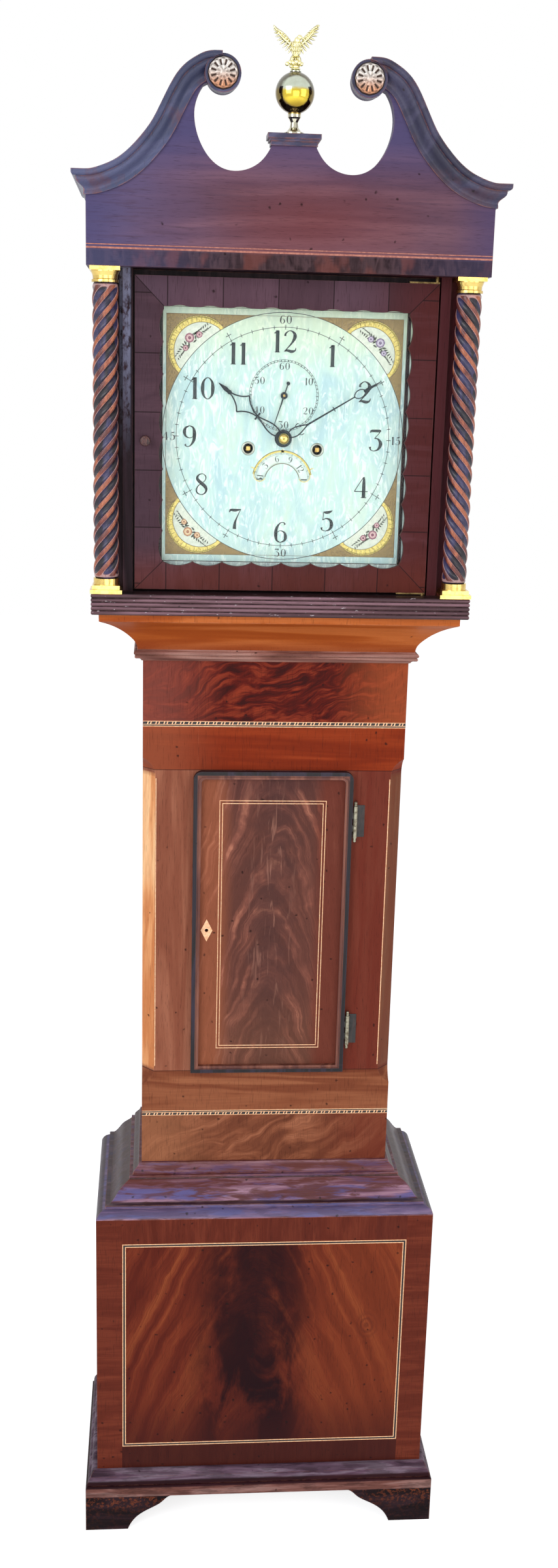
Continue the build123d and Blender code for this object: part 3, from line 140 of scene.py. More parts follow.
class Reading:
    """One output of a node, reckoned with like a number, or like a vector where a tuple stands beside it."""

    def __init__(self, socket):
        self.socket = socket

    def __add__(self, other):
        return combine("ADD", self, other)

    def __radd__(self, other):
        return combine("ADD", other, self)

    def __sub__(self, other):
        return combine("SUBTRACT", self, other)

    def __rsub__(self, other):
        return combine("SUBTRACT", other, self)

    def __mul__(self, other):
        return combine("MULTIPLY", self, other)

    def __rmul__(self, other):
        return combine("MULTIPLY", other, self)

    def __truediv__(self, other):
        return combine("DIVIDE", self, other)

    def __rtruediv__(self, other):
        return combine("DIVIDE", other, self)

    def __abs__(self):
        return reckon("ABSOLUTE", self)


class Fitted:
    """A node, whose outputs are read by name or number."""

    def __init__(self, node):
        self.node = node

    def __getitem__(self, name):
        return Reading(self.node.outputs[name])


def combine(operation, first, second):
    return (vector_sum if isinstance(second, tuple) else reckon)(operation, first, second)


def connect(made, feeds):
    for key, value in feeds.items():
        if isinstance(value, Reading):
            tree.links.new(value.socket, made.inputs[key])
        else:
            made.inputs[key].default_value = value
    return made


def fit(kind, feeds, **settings):
    made = tree.nodes.new(kind)
    for key, value in settings.items():
        setattr(made, key, value)
    return Fitted(connect(made, feeds))


def reckon(operation, *values, clamp=False):
    return fit("ShaderNodeMath", dict(enumerate(values)), operation=operation, use_clamp=clamp)[0]


def vector_sum(operation, *values):
    made = fit("ShaderNodeVectorMath", dict(enumerate(values)), operation=operation)
    return made["Value"] if operation in ("DOT_PRODUCT", "LENGTH") else made["Vector"]


def scaled(vector, factor):
    return fit("ShaderNodeVectorMath", {0: vector, "Scale": factor}, operation="SCALE")["Vector"]


def cloud(vector, scale, detail=3.0, rough=0.5, bend=0.0):
    feeds = {"Vector": vector, "Scale": scale, "Detail": detail, "Roughness": rough, "Distortion": bend}
    return fit("ShaderNodeTexNoise", feeds)["Fac"]


def ease(value, low, high, start=0.0, end=1.0):
    feeds = {"Value": value, "From Min": low, "From Max": high, "To Min": start, "To Max": end}
    return fit("ShaderNodeMapRange", feeds, interpolation_type="SMOOTHSTEP")["Result"]


def blend_colour(factor, first, second):
    return fit("ShaderNodeMix", {0: factor, 6: first, 7: second}, data_type="RGBA", clamp_factor=True)[2]


def tint(colour, share, *shade):
    return blend_colour(share, colour, tone(*shade))


def stain(factor, stops):
    made = fit("ShaderNodeValToRGB", {"Fac": factor})
    marks = made.node.color_ramp.elements
    while len(marks) < len(stops):
        marks.new(0.5)
    for mark, (place, colour) in zip(marks, stops):
        mark.position = place
        mark.color = colour
    return made["Color"]


def tone(red, green, blue):
    levels = []
    for value in (red, green, blue):
        level = value / 255.0
        levels.append(level / 12.92 if level <= 0.04045 else ((level + 0.055) / 1.055) ** 2.4)
    return levels[0], levels[1], levels[2], 1.0


def graded(shades, *places):
    return [(place, tone(*shade)) for place, shade in zip(places, shades)]


def new_group(name, inputs, outputs):
    open_tree(bpy.data.node_groups.new(name, "ShaderNodeTree"))
    for label, kind, value in inputs:
        socket = tree.interface.new_socket(label, in_out="INPUT", socket_type=kind)
        if value is not None:
            socket.default_value = value
    for label, kind in outputs:
        tree.interface.new_socket(label, in_out="OUTPUT", socket_type=kind)
    return Fitted(tree.nodes.new("NodeGroupInput")), tree.nodes.new("NodeGroupOutput")


def use_group(group, feeds):
    made = tree.nodes.new("ShaderNodeGroup")
    made.node_tree = group
    return Fitted(connect(made, feeds))


NUMBER = "NodeSocketFloat"
VECTOR = "NodeSocketVector"

# Shared effects


def make_timber_grain():
    inputs = [("Place", VECTOR, None), ("Along", VECTOR, (0, 0, 1)), ("Size", NUMBER, 14.0)]
    inputs = inputs + [("Stretch", NUMBER, 9.0), ("Wander", NUMBER, 0.6), ("Rings", NUMBER, 7.0)]
    outputs = [("Figure", NUMBER), ("Fibre", NUMBER), ("Pores", NUMBER), ("Height", NUMBER)]
    entry, leave = new_group("timber_grain", inputs, outputs)
    place = entry["Place"]
    along = entry["Along"]
    size = entry["Size"]
    depth = vector_sum("DOT_PRODUCT", place, along)
    keep = 1.0 - 1.0 / entry["Stretch"]
    pulled = vector_sum("SUBTRACT", place, scaled(along, depth * keep))
    long_pull = scaled(along, depth * 0.965)
    fine = vector_sum("SUBTRACT", place, long_pull)
    broad = cloud(pulled, size, 4.0, 0.55, entry["Wander"])
    rings = reckon("SINE", broad * (entry["Rings"] * 6.283))
    rings = reckon("MULTIPLY_ADD", rings, 0.5, 0.5)
    figure = broad * 0.68 + rings * 0.32
    fibre = cloud(fine, 520.0, 3.0, 0.6)
    dashes = cloud(fine, 1500.0, 2.0, 0.5)
    pores = ease(dashes, 0.6, 0.7)
    height = fibre * 0.5 - pores * 0.6
    connect(leave, {"Figure": figure, "Fibre": fibre, "Pores": pores, "Height": height})
    return tree


def make_feather_figure():
    inputs = [("Place", VECTOR, None), ("Spine", NUMBER, 0.0), ("Fall", NUMBER, 1.7), ("Heart", NUMBER, 0.05)]
    outputs = [("Plume", NUMBER), ("Fibre", NUMBER), ("Heart", NUMBER)]
    entry, leave = new_group("feather_figure", inputs, outputs)
    place = entry["Place"]
    parts = fit("ShaderNodeSeparateXYZ", {0: place})
    across = parts["X"]
    height = parts["Z"]
    sway = (cloud(place, 6.0, 3.0, 0.5) - 0.5) * 0.07
    ripple = (cloud(place, 30.0, 4.0, 0.55) - 0.5) * 0.045
    offset = across + sway - entry["Spine"]
    side = abs(offset)
    fall = reckon("POWER", side, 1.8) * (entry["Fall"] * 6.0)
    arch = height + fall + ripple
    track = fit("ShaderNodeCombineXYZ", {0: offset * 9.0, 1: 0.0, 2: arch * 30.0})
    bands = cloud(track[0], 1.0, 5.0, 0.66, 0.35)
    smoke = ease(cloud(place, 11.0, 4.0, 0.6, 0.6), 0.36, 0.6)
    plume = ease(bands, 0.4, 0.7) * reckon("MULTIPLY_ADD", smoke, 0.75, 0.25)
    hair_track = fit("ShaderNodeCombineXYZ", {0: offset * 30.0, 1: 3.0, 2: arch * 420.0})
    hairs = cloud(hair_track[0], 1.0, 3.0, 0.6)
    ragged = (cloud(place, 34.0, 4.0, 0.6) - 0.5) * 0.09
    core = ease(side + ragged, entry["Heart"], 0.0)
    connect(leave, {"Plume": plume, "Fibre": hairs, "Heart": core})
    return tree


def make_curl_figure():
    inputs = [("Place", VECTOR, None), ("Size", NUMBER, 16.0), ("Lean", NUMBER, 0.3), ("Swirl", NUMBER, 1.6)]
    outputs = [("Curl", NUMBER), ("Fibre", NUMBER)]
    entry, leave = new_group("curl_figure", inputs, outputs)
    parts = fit("ShaderNodeSeparateXYZ", {0: entry["Place"]})
    size = entry["Size"]
    sway = cloud(entry["Place"], 9.0, 3.0, 0.5) - 0.5
    fall = parts["X"] * entry["Lean"]
    level = parts["Z"] - fall + sway * 0.1
    across = parts["X"] * (size * 0.3)
    track = fit("ShaderNodeCombineXYZ", {0: across, 1: parts["Y"], 2: level * size})
    bands = cloud(track[0], 1.0, 5.0, 0.6, entry["Swirl"])
    hair_track = fit("ShaderNodeCombineXYZ", {0: parts["X"] * 26.0, 1: 2.0, 2: level * 430.0})
    hairs = cloud(hair_track[0], 1.0, 3.0, 0.6, 0.6)
    connect(leave, {"Curl": ease(bands, 0.3, 0.7), "Fibre": hairs})
    return tree


def make_edge_wear():
    inputs = [("Place", VECTOR, None), ("Reach", NUMBER, 0.002), ("Amount", NUMBER, 0.5)]
    outputs = [("Wear", NUMBER)]
    entry, leave = new_group("edge_wear", inputs, outputs)
    rounded = fit("ShaderNodeBevel", {"Radius": entry["Reach"]}, samples=4)
    flat = fit("ShaderNodeNewGeometry", {})
    same = vector_sum("DOT_PRODUCT", rounded[0], flat["Normal"])
    bent = ease(same, 0.995, 0.86)
    broken = ease(cloud(entry["Place"], 90.0, 4.0, 0.65), 0.34, 0.62)
    wear = reckon("MULTIPLY", bent * broken, entry["Amount"], clamp=True)
    connect(leave, {"Wear": wear})
    return tree


def make_knocks():
    inputs = [("Place", VECTOR, None), ("Size", NUMBER, 60.0), ("Share", NUMBER, 0.3)]
    outputs = [("Marks", NUMBER), ("Height", NUMBER)]
    entry, leave = new_group("knocks", inputs, outputs)
    bent = fit("ShaderNodeTexNoise", {"Vector": entry["Place"], "Scale": 120.0, "Detail": 2.0})
    push = scaled(bent["Color"], 0.006)
    spot = vector_sum("ADD", entry["Place"], push)
    cell = fit("ShaderNodeTexVoronoi", {"Vector": spot, "Scale": entry["Size"]})
    thin = fit("ShaderNodeSeparateColor", {0: cell["Color"]})
    chosen = reckon("LESS_THAN", thin[0], entry["Share"])
    dent = ease(cell["Distance"], 0.2, 0.05) * chosen
    connect(leave, {"Marks": dent, "Height": dent * -1.0})
    return tree


def make_rubbed_metal():
    inputs = [("Place", VECTOR, None), ("Size", NUMBER, 60.0)]
    outputs = [("Tarnish", NUMBER), ("Rub", NUMBER), ("Height", NUMBER)]
    entry, leave = new_group("rubbed_metal", inputs, outputs)
    patches = cloud(entry["Place"], entry["Size"], 5.0, 0.65, 0.4)
    tarnish_and_dark_reflection = ease(patches, 0.42, 0.68)
    swing = entry["Place"] * (1.0, 1.0, 0.06)
    lines = cloud(swing, 1800.0, 2.0, 0.6)
    rub = ease(cloud(entry["Place"], 240.0, 3.0, 0.7), 0.3, 0.7)
    connect(leave, {"Tarnish": tarnish_and_dark_reflection, "Rub": rub, "Height": lines})
    return tree


timber_grain = make_timber_grain()
feather_figure = make_feather_figure()
curl_figure = make_curl_figure()
edge_wear = make_edge_wear()
knocks = make_knocks()
rubbed_metal = make_rubbed_metal()

# Finishes


def new_finish(name):
    finish = bpy.data.materials.new(name)
    finish.use_nodes = True
    open_tree(finish.node_tree)
    return finish, tree.nodes["Principled BSDF"], fit("ShaderNodeTexCoord", {})["Object"]


def raise_surface(shader, height, distance, strength=0.6):
    bump = fit("ShaderNodeBump", {"Height": height, "Distance": distance, "Strength": strength})
    connect(shader, {"Normal": bump[0]})


def polish(shader, gloss=0.38, shine=0.07, coat=0.015, coat_rough=0.2):
    connect(shader, {"Roughness": gloss, "Specular IOR Level": shine, "Coat Weight": coat,
                     "Coat Roughness": coat_rough})


def spread(place, ways="XYZ"):
    parts = fit("ShaderNodeSeparateXYZ", {0: place})
    return [parts[way] for way in ways]


def one_way(place, way):
    return spread(place, way)[0]


def facing_side():
    return one_way(fit("ShaderNodeNewGeometry", {})["Normal"], "X")


def within(value, low, high, soft=0.0004):
    return ease(value, low - soft, low + soft) * ease(value, high + soft, high - soft)


def timber(place, shades, along=along_height, size=12.0, stretch=9.0, wander=0.7, rings=6.0, hair=0.3):
    feeds = {"Place": place, "Along": along, "Size": size, "Stretch": stretch, "Wander": wander, "Rings": rings}
    grain = use_group(timber_grain, feeds)
    colour = stain(grain["Figure"], graded(shades, 0.3, 0.5, 0.7))
    return tint(colour, ease(grain["Fibre"], 0.35, 0.7, 0.0, hair), *shades[0])


def flame(place, shades, size=16.0, lean=0.3, swirl=1.6, hair=0.35):
    figure = use_group(curl_figure, {"Place": place, "Size": size, "Lean": lean, "Swirl": swirl})
    colour = stain(figure["Curl"], graded(shades, 0.05, 0.5, 0.95))
    return tint(colour, ease(figure["Fibre"], 0.38, 0.68, 0.0, hair), *shades[0])


def wash(colour, value, start, end, shade, share):
    return tint(colour, ease(value, start, end, 0.0, share), *shade)


def settle(shader, place, colour, worn_and_highlight=(170, 110, 80), wear=0.35, reach=0.0018, marks=0.12, gloss=0.38,
           pores=0.4, along=along_height):
    grain = use_group(timber_grain, {"Place": place, "Along": along, "Size": 30.0, "Stretch": 6.0})
    colour = tint(colour, grain["Pores"] * pores, 34, 14, 12)
    # Edge colour: wear, and on some parts a painted highlight.
    edge = use_group(edge_wear, {"Place": place, "Reach": reach, "Amount": wear})
    colour = tint(colour, edge["Wear"], *worn_and_highlight)
    dents = use_group(knocks, {"Place": place, "Size": 75.0, "Share": marks})
    colour = tint(colour, dents["Marks"] * 0.8, 26, 12, 12)
    connect(shader, {"Base Color": colour})
    rough = grain["Fibre"] * 0.16 + gloss
    connect(shader, {"Roughness": rough + edge["Wear"] * 0.2})
    height = grain["Height"] + dents["Height"] * 1.2
    raise_surface(shader, height, 0.00022)


def wood(name, shades, along, size=12.0, stretch=9.0, wander=0.7, rings=6.0, worn_and_highlight=(170, 110, 80), wear=0.35,
         marks=0.12, gloss=0.38, shine=0.1, coat=0.03, reach=0.0018):
    finish, shader, place = new_finish(name)
    polish(shader, gloss, shine, coat)
    colour = timber(place, shades, along, size, stretch, wander, rings)
    settle(shader, place, colour, worn_and_highlight, wear, reach, marks, gloss, along=along)
    return finish


def veneer_blocks(value, length):
    steps = value / length
    chance = fit("ShaderNodeTexWhiteNoise", {"W": reckon("FLOOR", steps)}, noise_dimensions="1D")["Value"]
    seam = ease(reckon("PINGPONG", steps, 0.5), 0.014, 0.004)
    return chance, seam


def pediment_finish():
    finish, shader, place = new_finish("pediment_mahogany")
    polish(shader)
    across, height = spread(place, "XZ")
    ripple = (cloud(place, 7.0, 3.0) - 0.5) * 0.1
    run = across + ripple
    colour = timber(place, [(84, 44, 50), (104, 62, 68), (120, 76, 80)], along_width, 16.0, 10.0, 0.8, 4.0)
    # Painted reflection: bluish sheen washed over the left end, purple sheen over the right end, dark blue
    # sheen towards the top.
    colour = wash(colour, run, -0.05, -0.24, (74, 74, 116), 0.78)
    colour = wash(colour, run, 0.08, 0.26, (84, 58, 76), 0.6)
    colour = wash(colour, height, 1.955, 2.03, (58, 54, 86), 0.6)
    plinth_part = ease(abs(across), 0.05, 0.035) * ease(height, 1.94, 1.99)
    colour = tint(colour, plinth_part * 0.6, 106, 66, 74)
    threads = cloud(place * (0.06, 1.0, 1.0), 260.0, 3.0, 0.65)
    colour = tint(colour, ease(threads, 0.52, 0.66, 0.0, 0.4), 60, 34, 48)
    band = timber(place, [(38, 24, 28), (62, 44, 48), (84, 62, 66)], along_height, 60.0, 3.0, 0.4, 3.0)
    patch = ease(cloud(place * (1.0, 1.0, 0.5), 26.0, 3.0, 0.6), 0.48, 0.6, 0.0, 0.6)
    band = tint(band, patch, 112, 62, 56)
    # Painted reflection on the crossband too: blue at the left end, dark blue-purple at the right end.
    band = wash(band, run, -0.05, -0.26, (78, 82, 120), 0.55)
    band = wash(band, run, 0.1, 0.26, (58, 56, 84), 0.55)
    colour = blend_colour(within(height, 1.8, 1.8793), colour, band)
    board = ease(height, 1.876, 1.88)
    # Painted sheen: the board above the crossband is lifted a little towards lavender grey.
    colour = tint(colour, board * 0.2, 128, 108, 130)
    off = (place - (0.03, 0.0, 1.915)) * (1.0, 0.0, 2.4)
    near_heart = ease(vector_sum("LENGTH", off) + cloud(place, 9.0, 4.0) * 0.1, 0.21, 0.06)
    colour = tint(colour, near_heart * board * 0.55, 112, 52, 48)
    # Painted reflection: the upper part and the outer corners of the board are washed blue.
    upper = ease(height, 1.945, 2.02) * 0.5
    colour = tint(colour, upper, 70, 72, 118)
    corner = ease(abs(across), 0.19, 0.26, 0.0, 0.5)
    colour = tint(colour, corner * board, 62, 62, 104)
    settle(shader, place, colour, (150, 96, 84), 0.3, 0.0016, 0.1, along=along_width)
    return finish


def cornice_finish():
    finish, shader, place = new_finish("cornice_mahogany")
    polish(shader, 0.34, 0.3, 0.15)
    across = one_way(place, "X")
    # The blue-purple in these shades is painted sheen; the left side is washed a paler blue as painted
    # reflection.
    colour = timber(place, [(34, 32, 54), (56, 54, 82), (82, 78, 108)], (0.9, 0.0, 0.44), 18.0, 7.0, 0.7, 4.0)
    colour = wash(colour, across, 0.02, -0.22, (78, 88, 126), 0.5)
    rubbed = ease(cloud(place, 22.0, 4.0, 0.62), 0.52, 0.66, 0.0, 0.55)
    colour = tint(colour, rubbed, 98, 56, 60)
    # Painted shade: the right-hand side is darkened.
    colour = wash(colour, one_way(place, "X"), 0.05, 0.13, (36, 34, 56), 0.5)
    settle(shader, place, colour, (164, 102, 84), 0.75, 0.0022, 0.1, 0.34)
    return finish


def hood_door_finish():
    finish, shader, place = new_finish("hood_door_mahogany")
    polish(shader)
    across, height = spread(place, "XZ")
    off_side = door_half_width - abs(across)
    off_top = door_half_height - abs(height - door_centre_z)
    rail = ease(off_side - off_top, -0.0003, 0.0003)
    rail_seed, rail_seam = veneer_blocks(across + 0.012, 0.071)
    post_seed, post_seam = veneer_blocks(height + 0.02, 0.074)
    calm = [(66, 38, 42), (80, 50, 56), (98, 66, 74)]
    rails = timber(place, calm, along_height, 22.0, 4.0, 0.5, 3.0)
    rails = wash(rails, height, 1.78, 1.83, (102, 78, 94), 0.5)
    posts = timber(place, calm, along_width, 30.0, 5.0, 0.5, 3.0)
    seed = blend_value(rail, post_seed, rail_seed)
    seam = blend_value(rail, post_seam, rail_seam)
    colour = blend_colour(rail, posts, rails)
    colour = tint(colour, seed * 0.66, 34, 12, 14)
    colour = wash(colour, across, 0.08, 0.19, (78, 24, 20), 0.65)
    colour = wash(colour, across, -0.1, -0.19, (70, 56, 70), 0.45)
    colour = wash(colour, height, 1.52, 1.46, (98, 40, 28), 0.6)
    mitre = ease(abs(off_side - off_top), 0.0011, 0.0004)
    colour = tint(colour, reckon("MAXIMUM", seam, mitre) * 0.85, 22, 12, 14)
    settle(shader, place, colour, (112, 76, 72), 0.5, 0.0016, 0.08)
    return finish


def blend_value(factor, first, second):
    return fit("ShaderNodeMix", {0: factor, 2: first, 3: second}, data_type="FLOAT")[0]


def twist_finish():
    finish, shader, place = new_finish("column_mahogany")
    polish(shader, 0.3, 0.35, 0.25)
    across, depth = spread(place, "XY")
    side = abs(across) - column_side
    inward = depth + -column_depth
    radius = reckon("SQRT", side * side + inward * inward)
    ridge = timber(place, [(92, 40, 36), (138, 70, 54), (182, 104, 70)], along_height, 40.0, 4.0, 0.5, 4.0)
    # Painted shade: the grooves between the strands are coloured near-black blue.
    groove_painted_shade = timber(place, [(16, 10, 22), (34, 30, 58), (62, 58, 96)], along_height, 30.0, 4.0, 0.5, 4.0)
    colour = blend_colour(ease(radius, 0.015, 0.0158), groove_painted_shade, ridge)
    # Painted highlight: a pale line along the edges of each strand.
    arris_painted_highlight = within(radius, 0.0154, 0.016, 0.0002) * 0.6
    colour = tint(colour, arris_painted_highlight, 206, 170, 168)
    pits = ease(cloud(place, 380.0, 3.0, 0.7), 0.56, 0.66, 0.0, 0.5)
    colour = tint(colour, pits, 54, 26, 30)
    settle(shader, place, colour, (186, 122, 98), 0.2, 0.001, 0.05, 0.3)
    return finish


def reed_finish():
    finish, shader, place = new_finish("reeded_mahogany")
    polish(shader, 0.34, 0.3, 0.12)
    height = one_way(place, "Z")
    colour = timber(place, [(62, 34, 42), (94, 62, 70), (132, 96, 106)], along_width, 30.0, 12.0, 0.5, 4.0)
    share = (height - reed_foot) / reed_pitch
    # Painted shade: the lower half of each reed is darkened, and the valleys between reeds go near-black.
    valley_painted_shade = ease(reckon("PINGPONG", share, 0.5), 0.17, 0.06)
    underside_painted_shade = ease(reckon("FRACT", share), 0.55, 0.2, 0.0, 0.6)
    colour = tint(colour, underside_painted_shade, 60, 28, 30)
    colour = tint(colour, valley_painted_shade * 0.92, 16, 8, 12)
    nicks = ease(cloud(place * (0.4, 1.0, 1.0), 220.0, 3.0, 0.7), 0.66, 0.72, 0.0, 0.8)
    colour = tint(colour, nicks, 206, 196, 200)
    settle(shader, place, colour, (160, 122, 118), 0.5, 0.0012, 0.1, 0.34, along=along_width)
    return finish


def carcass_finish():
    finish, shader, place = new_finish("hood_side_mahogany")
    polish(shader)
    across, height = spread(place, "XZ")
    colour = timber(place, [(30, 18, 24), (52, 34, 42), (76, 54, 64)], along_height, 16.0, 12.0)
    colour = wash(colour, across, 0.1, 0.18, (84, 28, 30), 0.6)
    strip = within(across, -0.215, -0.201, 0.0015) * ease(height, 1.6, 1.8)
    bleached = ease(cloud(place * (1.0, 1.0, 0.5), 150.0, 4.0, 0.7), 0.36, 0.56)
    colour = tint(colour, strip * bleached * 0.85, 128, 130, 156)
    facing = facing_side()
    outside = ease(abs(facing), 0.6, 0.9) * ease(abs(across), 0.226, 0.23)
    flank = timber(place, [(62, 30, 26), (84, 46, 38), (104, 62, 50)], along_height, 12.0, 14.0, 0.5, 5.0)
    colour = blend_colour(outside, colour, flank)
    settle(shader, place, colour, (110, 72, 70), 0.4, 0.0014, 0.08)
    return finish


def throat_finish():
    finish, shader, place = new_finish("cove_mahogany")
    polish(shader)
    height = one_way(place, "Z")
    colour = timber(place, [(160, 74, 28), (176, 88, 36), (196, 108, 54)], along_width, 18.0, 14.0, 0.5, 4.0)
    colour = wash(colour, height, 1.385, 1.366, (112, 44, 22), 0.6)
    bead = timber(place, [(70, 34, 28), (146, 100, 90), (188, 148, 136)], along_width, 40.0, 12.0, 0.5, 3.0)
    colour = blend_colour(within(height, 1.34, 1.3655), colour, bead)
    settle(shader, place, colour, (208, 148, 120), 0.5, 0.0016, 0.08)
    return finish


def trunk_front_finish():
    finish, shader, place = new_finish("trunk_front_mahogany")
    polish(shader)
    across, depth, height = spread(place)
    upper = flame(place, [(52, 10, 8), (94, 22, 12), (136, 50, 28)], 40.0, 0.35, 2.6, 0.5)
    upper = wash(upper, across, -0.06, -0.17, (138, 72, 60), 0.65)
    upper = wash(upper, across, 0.07, 0.17, (166, 80, 44), 0.65)
    plain = timber(place, [(112, 34, 10), (130, 44, 14), (146, 56, 22)], along_width, 15.0, 12.0, 0.7, 5.0)
    plain = wash(plain, across, -0.06, -0.17, (158, 90, 62), 0.45)
    upright = timber(place, [(124, 66, 48), (146, 88, 66), (164, 104, 80)], along_height, 15.0, 12.0, 0.6, 5.0)
    # Painted shade: the right-hand stile is darkened.
    upright = wash(upright, across, 0.05, 0.13, (100, 34, 24), 0.85)
    lower_plain = timber(place, [(112, 56, 36), (134, 76, 50), (154, 94, 64)], along_width, 15.0, 12.0, 0.7,
                         5.0)
    lower = flame(place, [(104, 56, 38), (132, 76, 52), (158, 98, 70)], 26.0, 0.55, 1.6, 0.45)
    lower = wash(lower, across, -0.05, -0.17, (160, 104, 72), 0.55)
    lower = wash(lower, across, 0.05, 0.17, (108, 44, 30), 0.7)
    colour = blend_colour(ease(height, band_above_z - 0.0005, band_above_z + 0.0005), plain, upper)
    colour = blend_colour(within(height, lower_rail_z - 0.0003, upper_rail_z), colour, upright)
    colour = blend_colour(ease(height, lower_rail_z + 0.0003, lower_rail_z - 0.0003), colour, lower_plain)
    colour = blend_colour(ease(height, band_below_z + 0.0005, band_below_z - 0.0005), colour, lower)
    slope = abs(across) - depth
    bevelled = within(slope, 0.2119, 0.2131, 0.0003) * within(height, 0.735, 1.188, 0.002)
    cant_shade = timber(place, [(206, 128, 78), (236, 166, 112), (252, 200, 148)], along_height, 22.0, 12.0,
                        0.5, 4.0)
    # The cant colour is the lit one; the right-hand cant is darkened as painted shade.
    cant_shade = wash(cant_shade, across, 0.0, 0.05, (104, 52, 38), 0.92)
    colour = blend_colour(bevelled, colour, cant_shade)
    joint, foot_joint = [ease(abs(height - level), 0.0009, 0.0003) * 0.7
                         for level in (upper_rail_z, lower_rail_z)]
    colour = tint(colour, reckon("MAXIMUM", joint, foot_joint), 40, 14, 12)
    settle(shader, place, colour, (178, 116, 84), 0.3, 0.0016, 0.16)
    return finish


def plinth_finish():
    finish, shader, place = new_finish("plinth_moulding_mahogany")
    polish(shader, 0.36, 0.3, 0.12)
    height = one_way(place, "Z")
    flat = place * (0.16, 1.0, 1.0)
    # The pink-purple in these shades is painted sheen.
    colour = timber(place, [(84, 44, 56), (140, 98, 122), (186, 146, 164)], along_width, 30.0, 14.0, 0.6, 5.0,
                    0.45)
    # Painted reflection: streaks of blue sheen.
    painted_blue_reflection = ease(cloud(flat, 64.0, 4.0, 0.6, 0.5), 0.48, 0.6, 0.0, 0.8)
    colour = tint(colour, painted_blue_reflection, 82, 82, 138)
    browns = ease(cloud(flat + (3.0, 1.0, 2.0), 110.0, 4.0, 0.65, 0.5), 0.46, 0.6, 0.0, 0.85)
    colour = tint(colour, browns, 84, 36, 30)
    colour = wash(colour, height, 0.552, 0.566, (92, 38, 26), 0.6)
    # Painted reflection: a band of blue sheen low on the moulding.
    colour = tint(colour, within(height, 0.527, 0.54) * 0.6, 84, 84, 126)
    lower_line = within(height, 0.5402, 0.5424, 0.0003)
    dark_line = reckon("MAXIMUM", lower_line, within(height, 0.5655, 0.5675, 0.0003))
    colour = tint(colour, dark_line * 0.8, 30, 14, 18)
    # Painted shade: faces turned sideways are darkened.
    sideways_painted_shade = ease(abs(facing_side()), 0.2, 0.45)
    colour = tint(colour, sideways_painted_shade * 0.85, 40, 20, 18)
    settle(shader, place, colour, (178, 126, 116), 0.5, 0.0018, 0.5, 0.36, along=along_width)
    return finish


def foot_finish():
    finish, shader, place = new_finish("foot_mahogany")
    polish(shader)
    height = one_way(place, "Z")
    colour = timber(place, [(26, 8, 14), (46, 16, 22), (68, 32, 38)], along_width, 24.0, 9.0, 0.5, 4.0)
    flat = place * (0.2, 1.0, 1.0)
    streaks = ease(cloud(flat, 100.0, 4.0, 0.65), 0.44, 0.58)
    # Painted highlight: the top face of the foot moulding is given a pale bluish sheen.
    top_painted_sheen = timber(place, [(64, 46, 60), (112, 86, 104), (154, 138, 152)], along_width, 46.0, 12.0, 0.5, 3.0)
    colour = blend_colour(within(height, 0.084, 0.101, 0.002) * 0.85, colour, top_painted_sheen)
    rubbed = timber(place, [(90, 48, 36), (142, 96, 88), (184, 146, 138)], along_width, 46.0, 10.0, 0.5, 3.0)
    colour = blend_colour(within(height, 0.0585, 0.0735, 0.001) * 0.9, colour, rubbed)
    dark = timber(place, [(12, 4, 8), (28, 14, 20), (46, 28, 34)], along_width, 30.0, 6.0, 0.7, 4.0)
    speckle = ease(cloud(place, 170.0, 4.0, 0.7), 0.48, 0.62)
    upper_foot = ease(height, 0.02, 0.056, 0.1, 0.85)
    dark = tint(dark, speckle * upper_foot, 118, 60, 38)
    colour = blend_colour(ease(height, 0.0585, 0.0575), colour, dark)
    colour = tint(colour, streaks * 0.45, 26, 10, 14)
    colour = tint(colour, within(height, 0.074, 0.0835, 0.0006) * 0.6, 34, 8, 14)
    colour = tint(colour, ease(height, 0.1, 0.104) * 0.4, 30, 4, 14)
    settle(shader, place, colour, (132, 84, 70), 0.5, 0.0018, 0.4, along=along_width)
    return finish


def feathered(place, light, middle, dark, heart, spine, fall, core, strength):
    feather = use_group(feather_figure, {"Place": place, "Spine": spine, "Fall": fall, "Heart": core})
    colour = stain(feather["Plume"], graded((dark, middle, light), 0.0, 0.45, 1.0))
    colour = tint(colour, feather["Heart"] * strength, *heart)
    return tint(colour, ease(feather["Fibre"], 0.35, 0.7, 0.0, 0.32), *dark), feather["Plume"]


def trunk_door_finish():
    finish, shader, place = new_finish("trunk_door_flame")
    polish(shader)
    across, height = spread(place, "XZ")
    colour, plume = feathered(place, (206, 136, 108), (136, 82, 68), (92, 54, 46), (72, 46, 44), 0.002, 3.4,
                              0.05, 0.66)
    core_line = ease(abs(across), 0.05, 0.0)
    threads = cloud(place * (1.0, 1.0, 0.1), 150.0, 3.0, 0.6, 0.5)
    pale = ease(threads, 0.56, 0.68) * (core_line * 0.6)
    colour = tint(colour, pale, 156, 108, 92)
    colour = wash(colour, height, 1.1, 1.2, (70, 40, 40), 0.5)
    colour = wash(colour, height, 0.9, 0.76, (104, 66, 50), 0.5)
    sway = across + plume * 0.012
    colour = wash(colour, sway, 0.056, 0.08, (104, 48, 36), 0.85)
    colour = wash(colour, sway, -0.05, -0.078, (150, 84, 56), 0.7)
    settle(shader, place, colour, (178, 116, 84), 0.3, 0.0016, 0.18)
    return finish


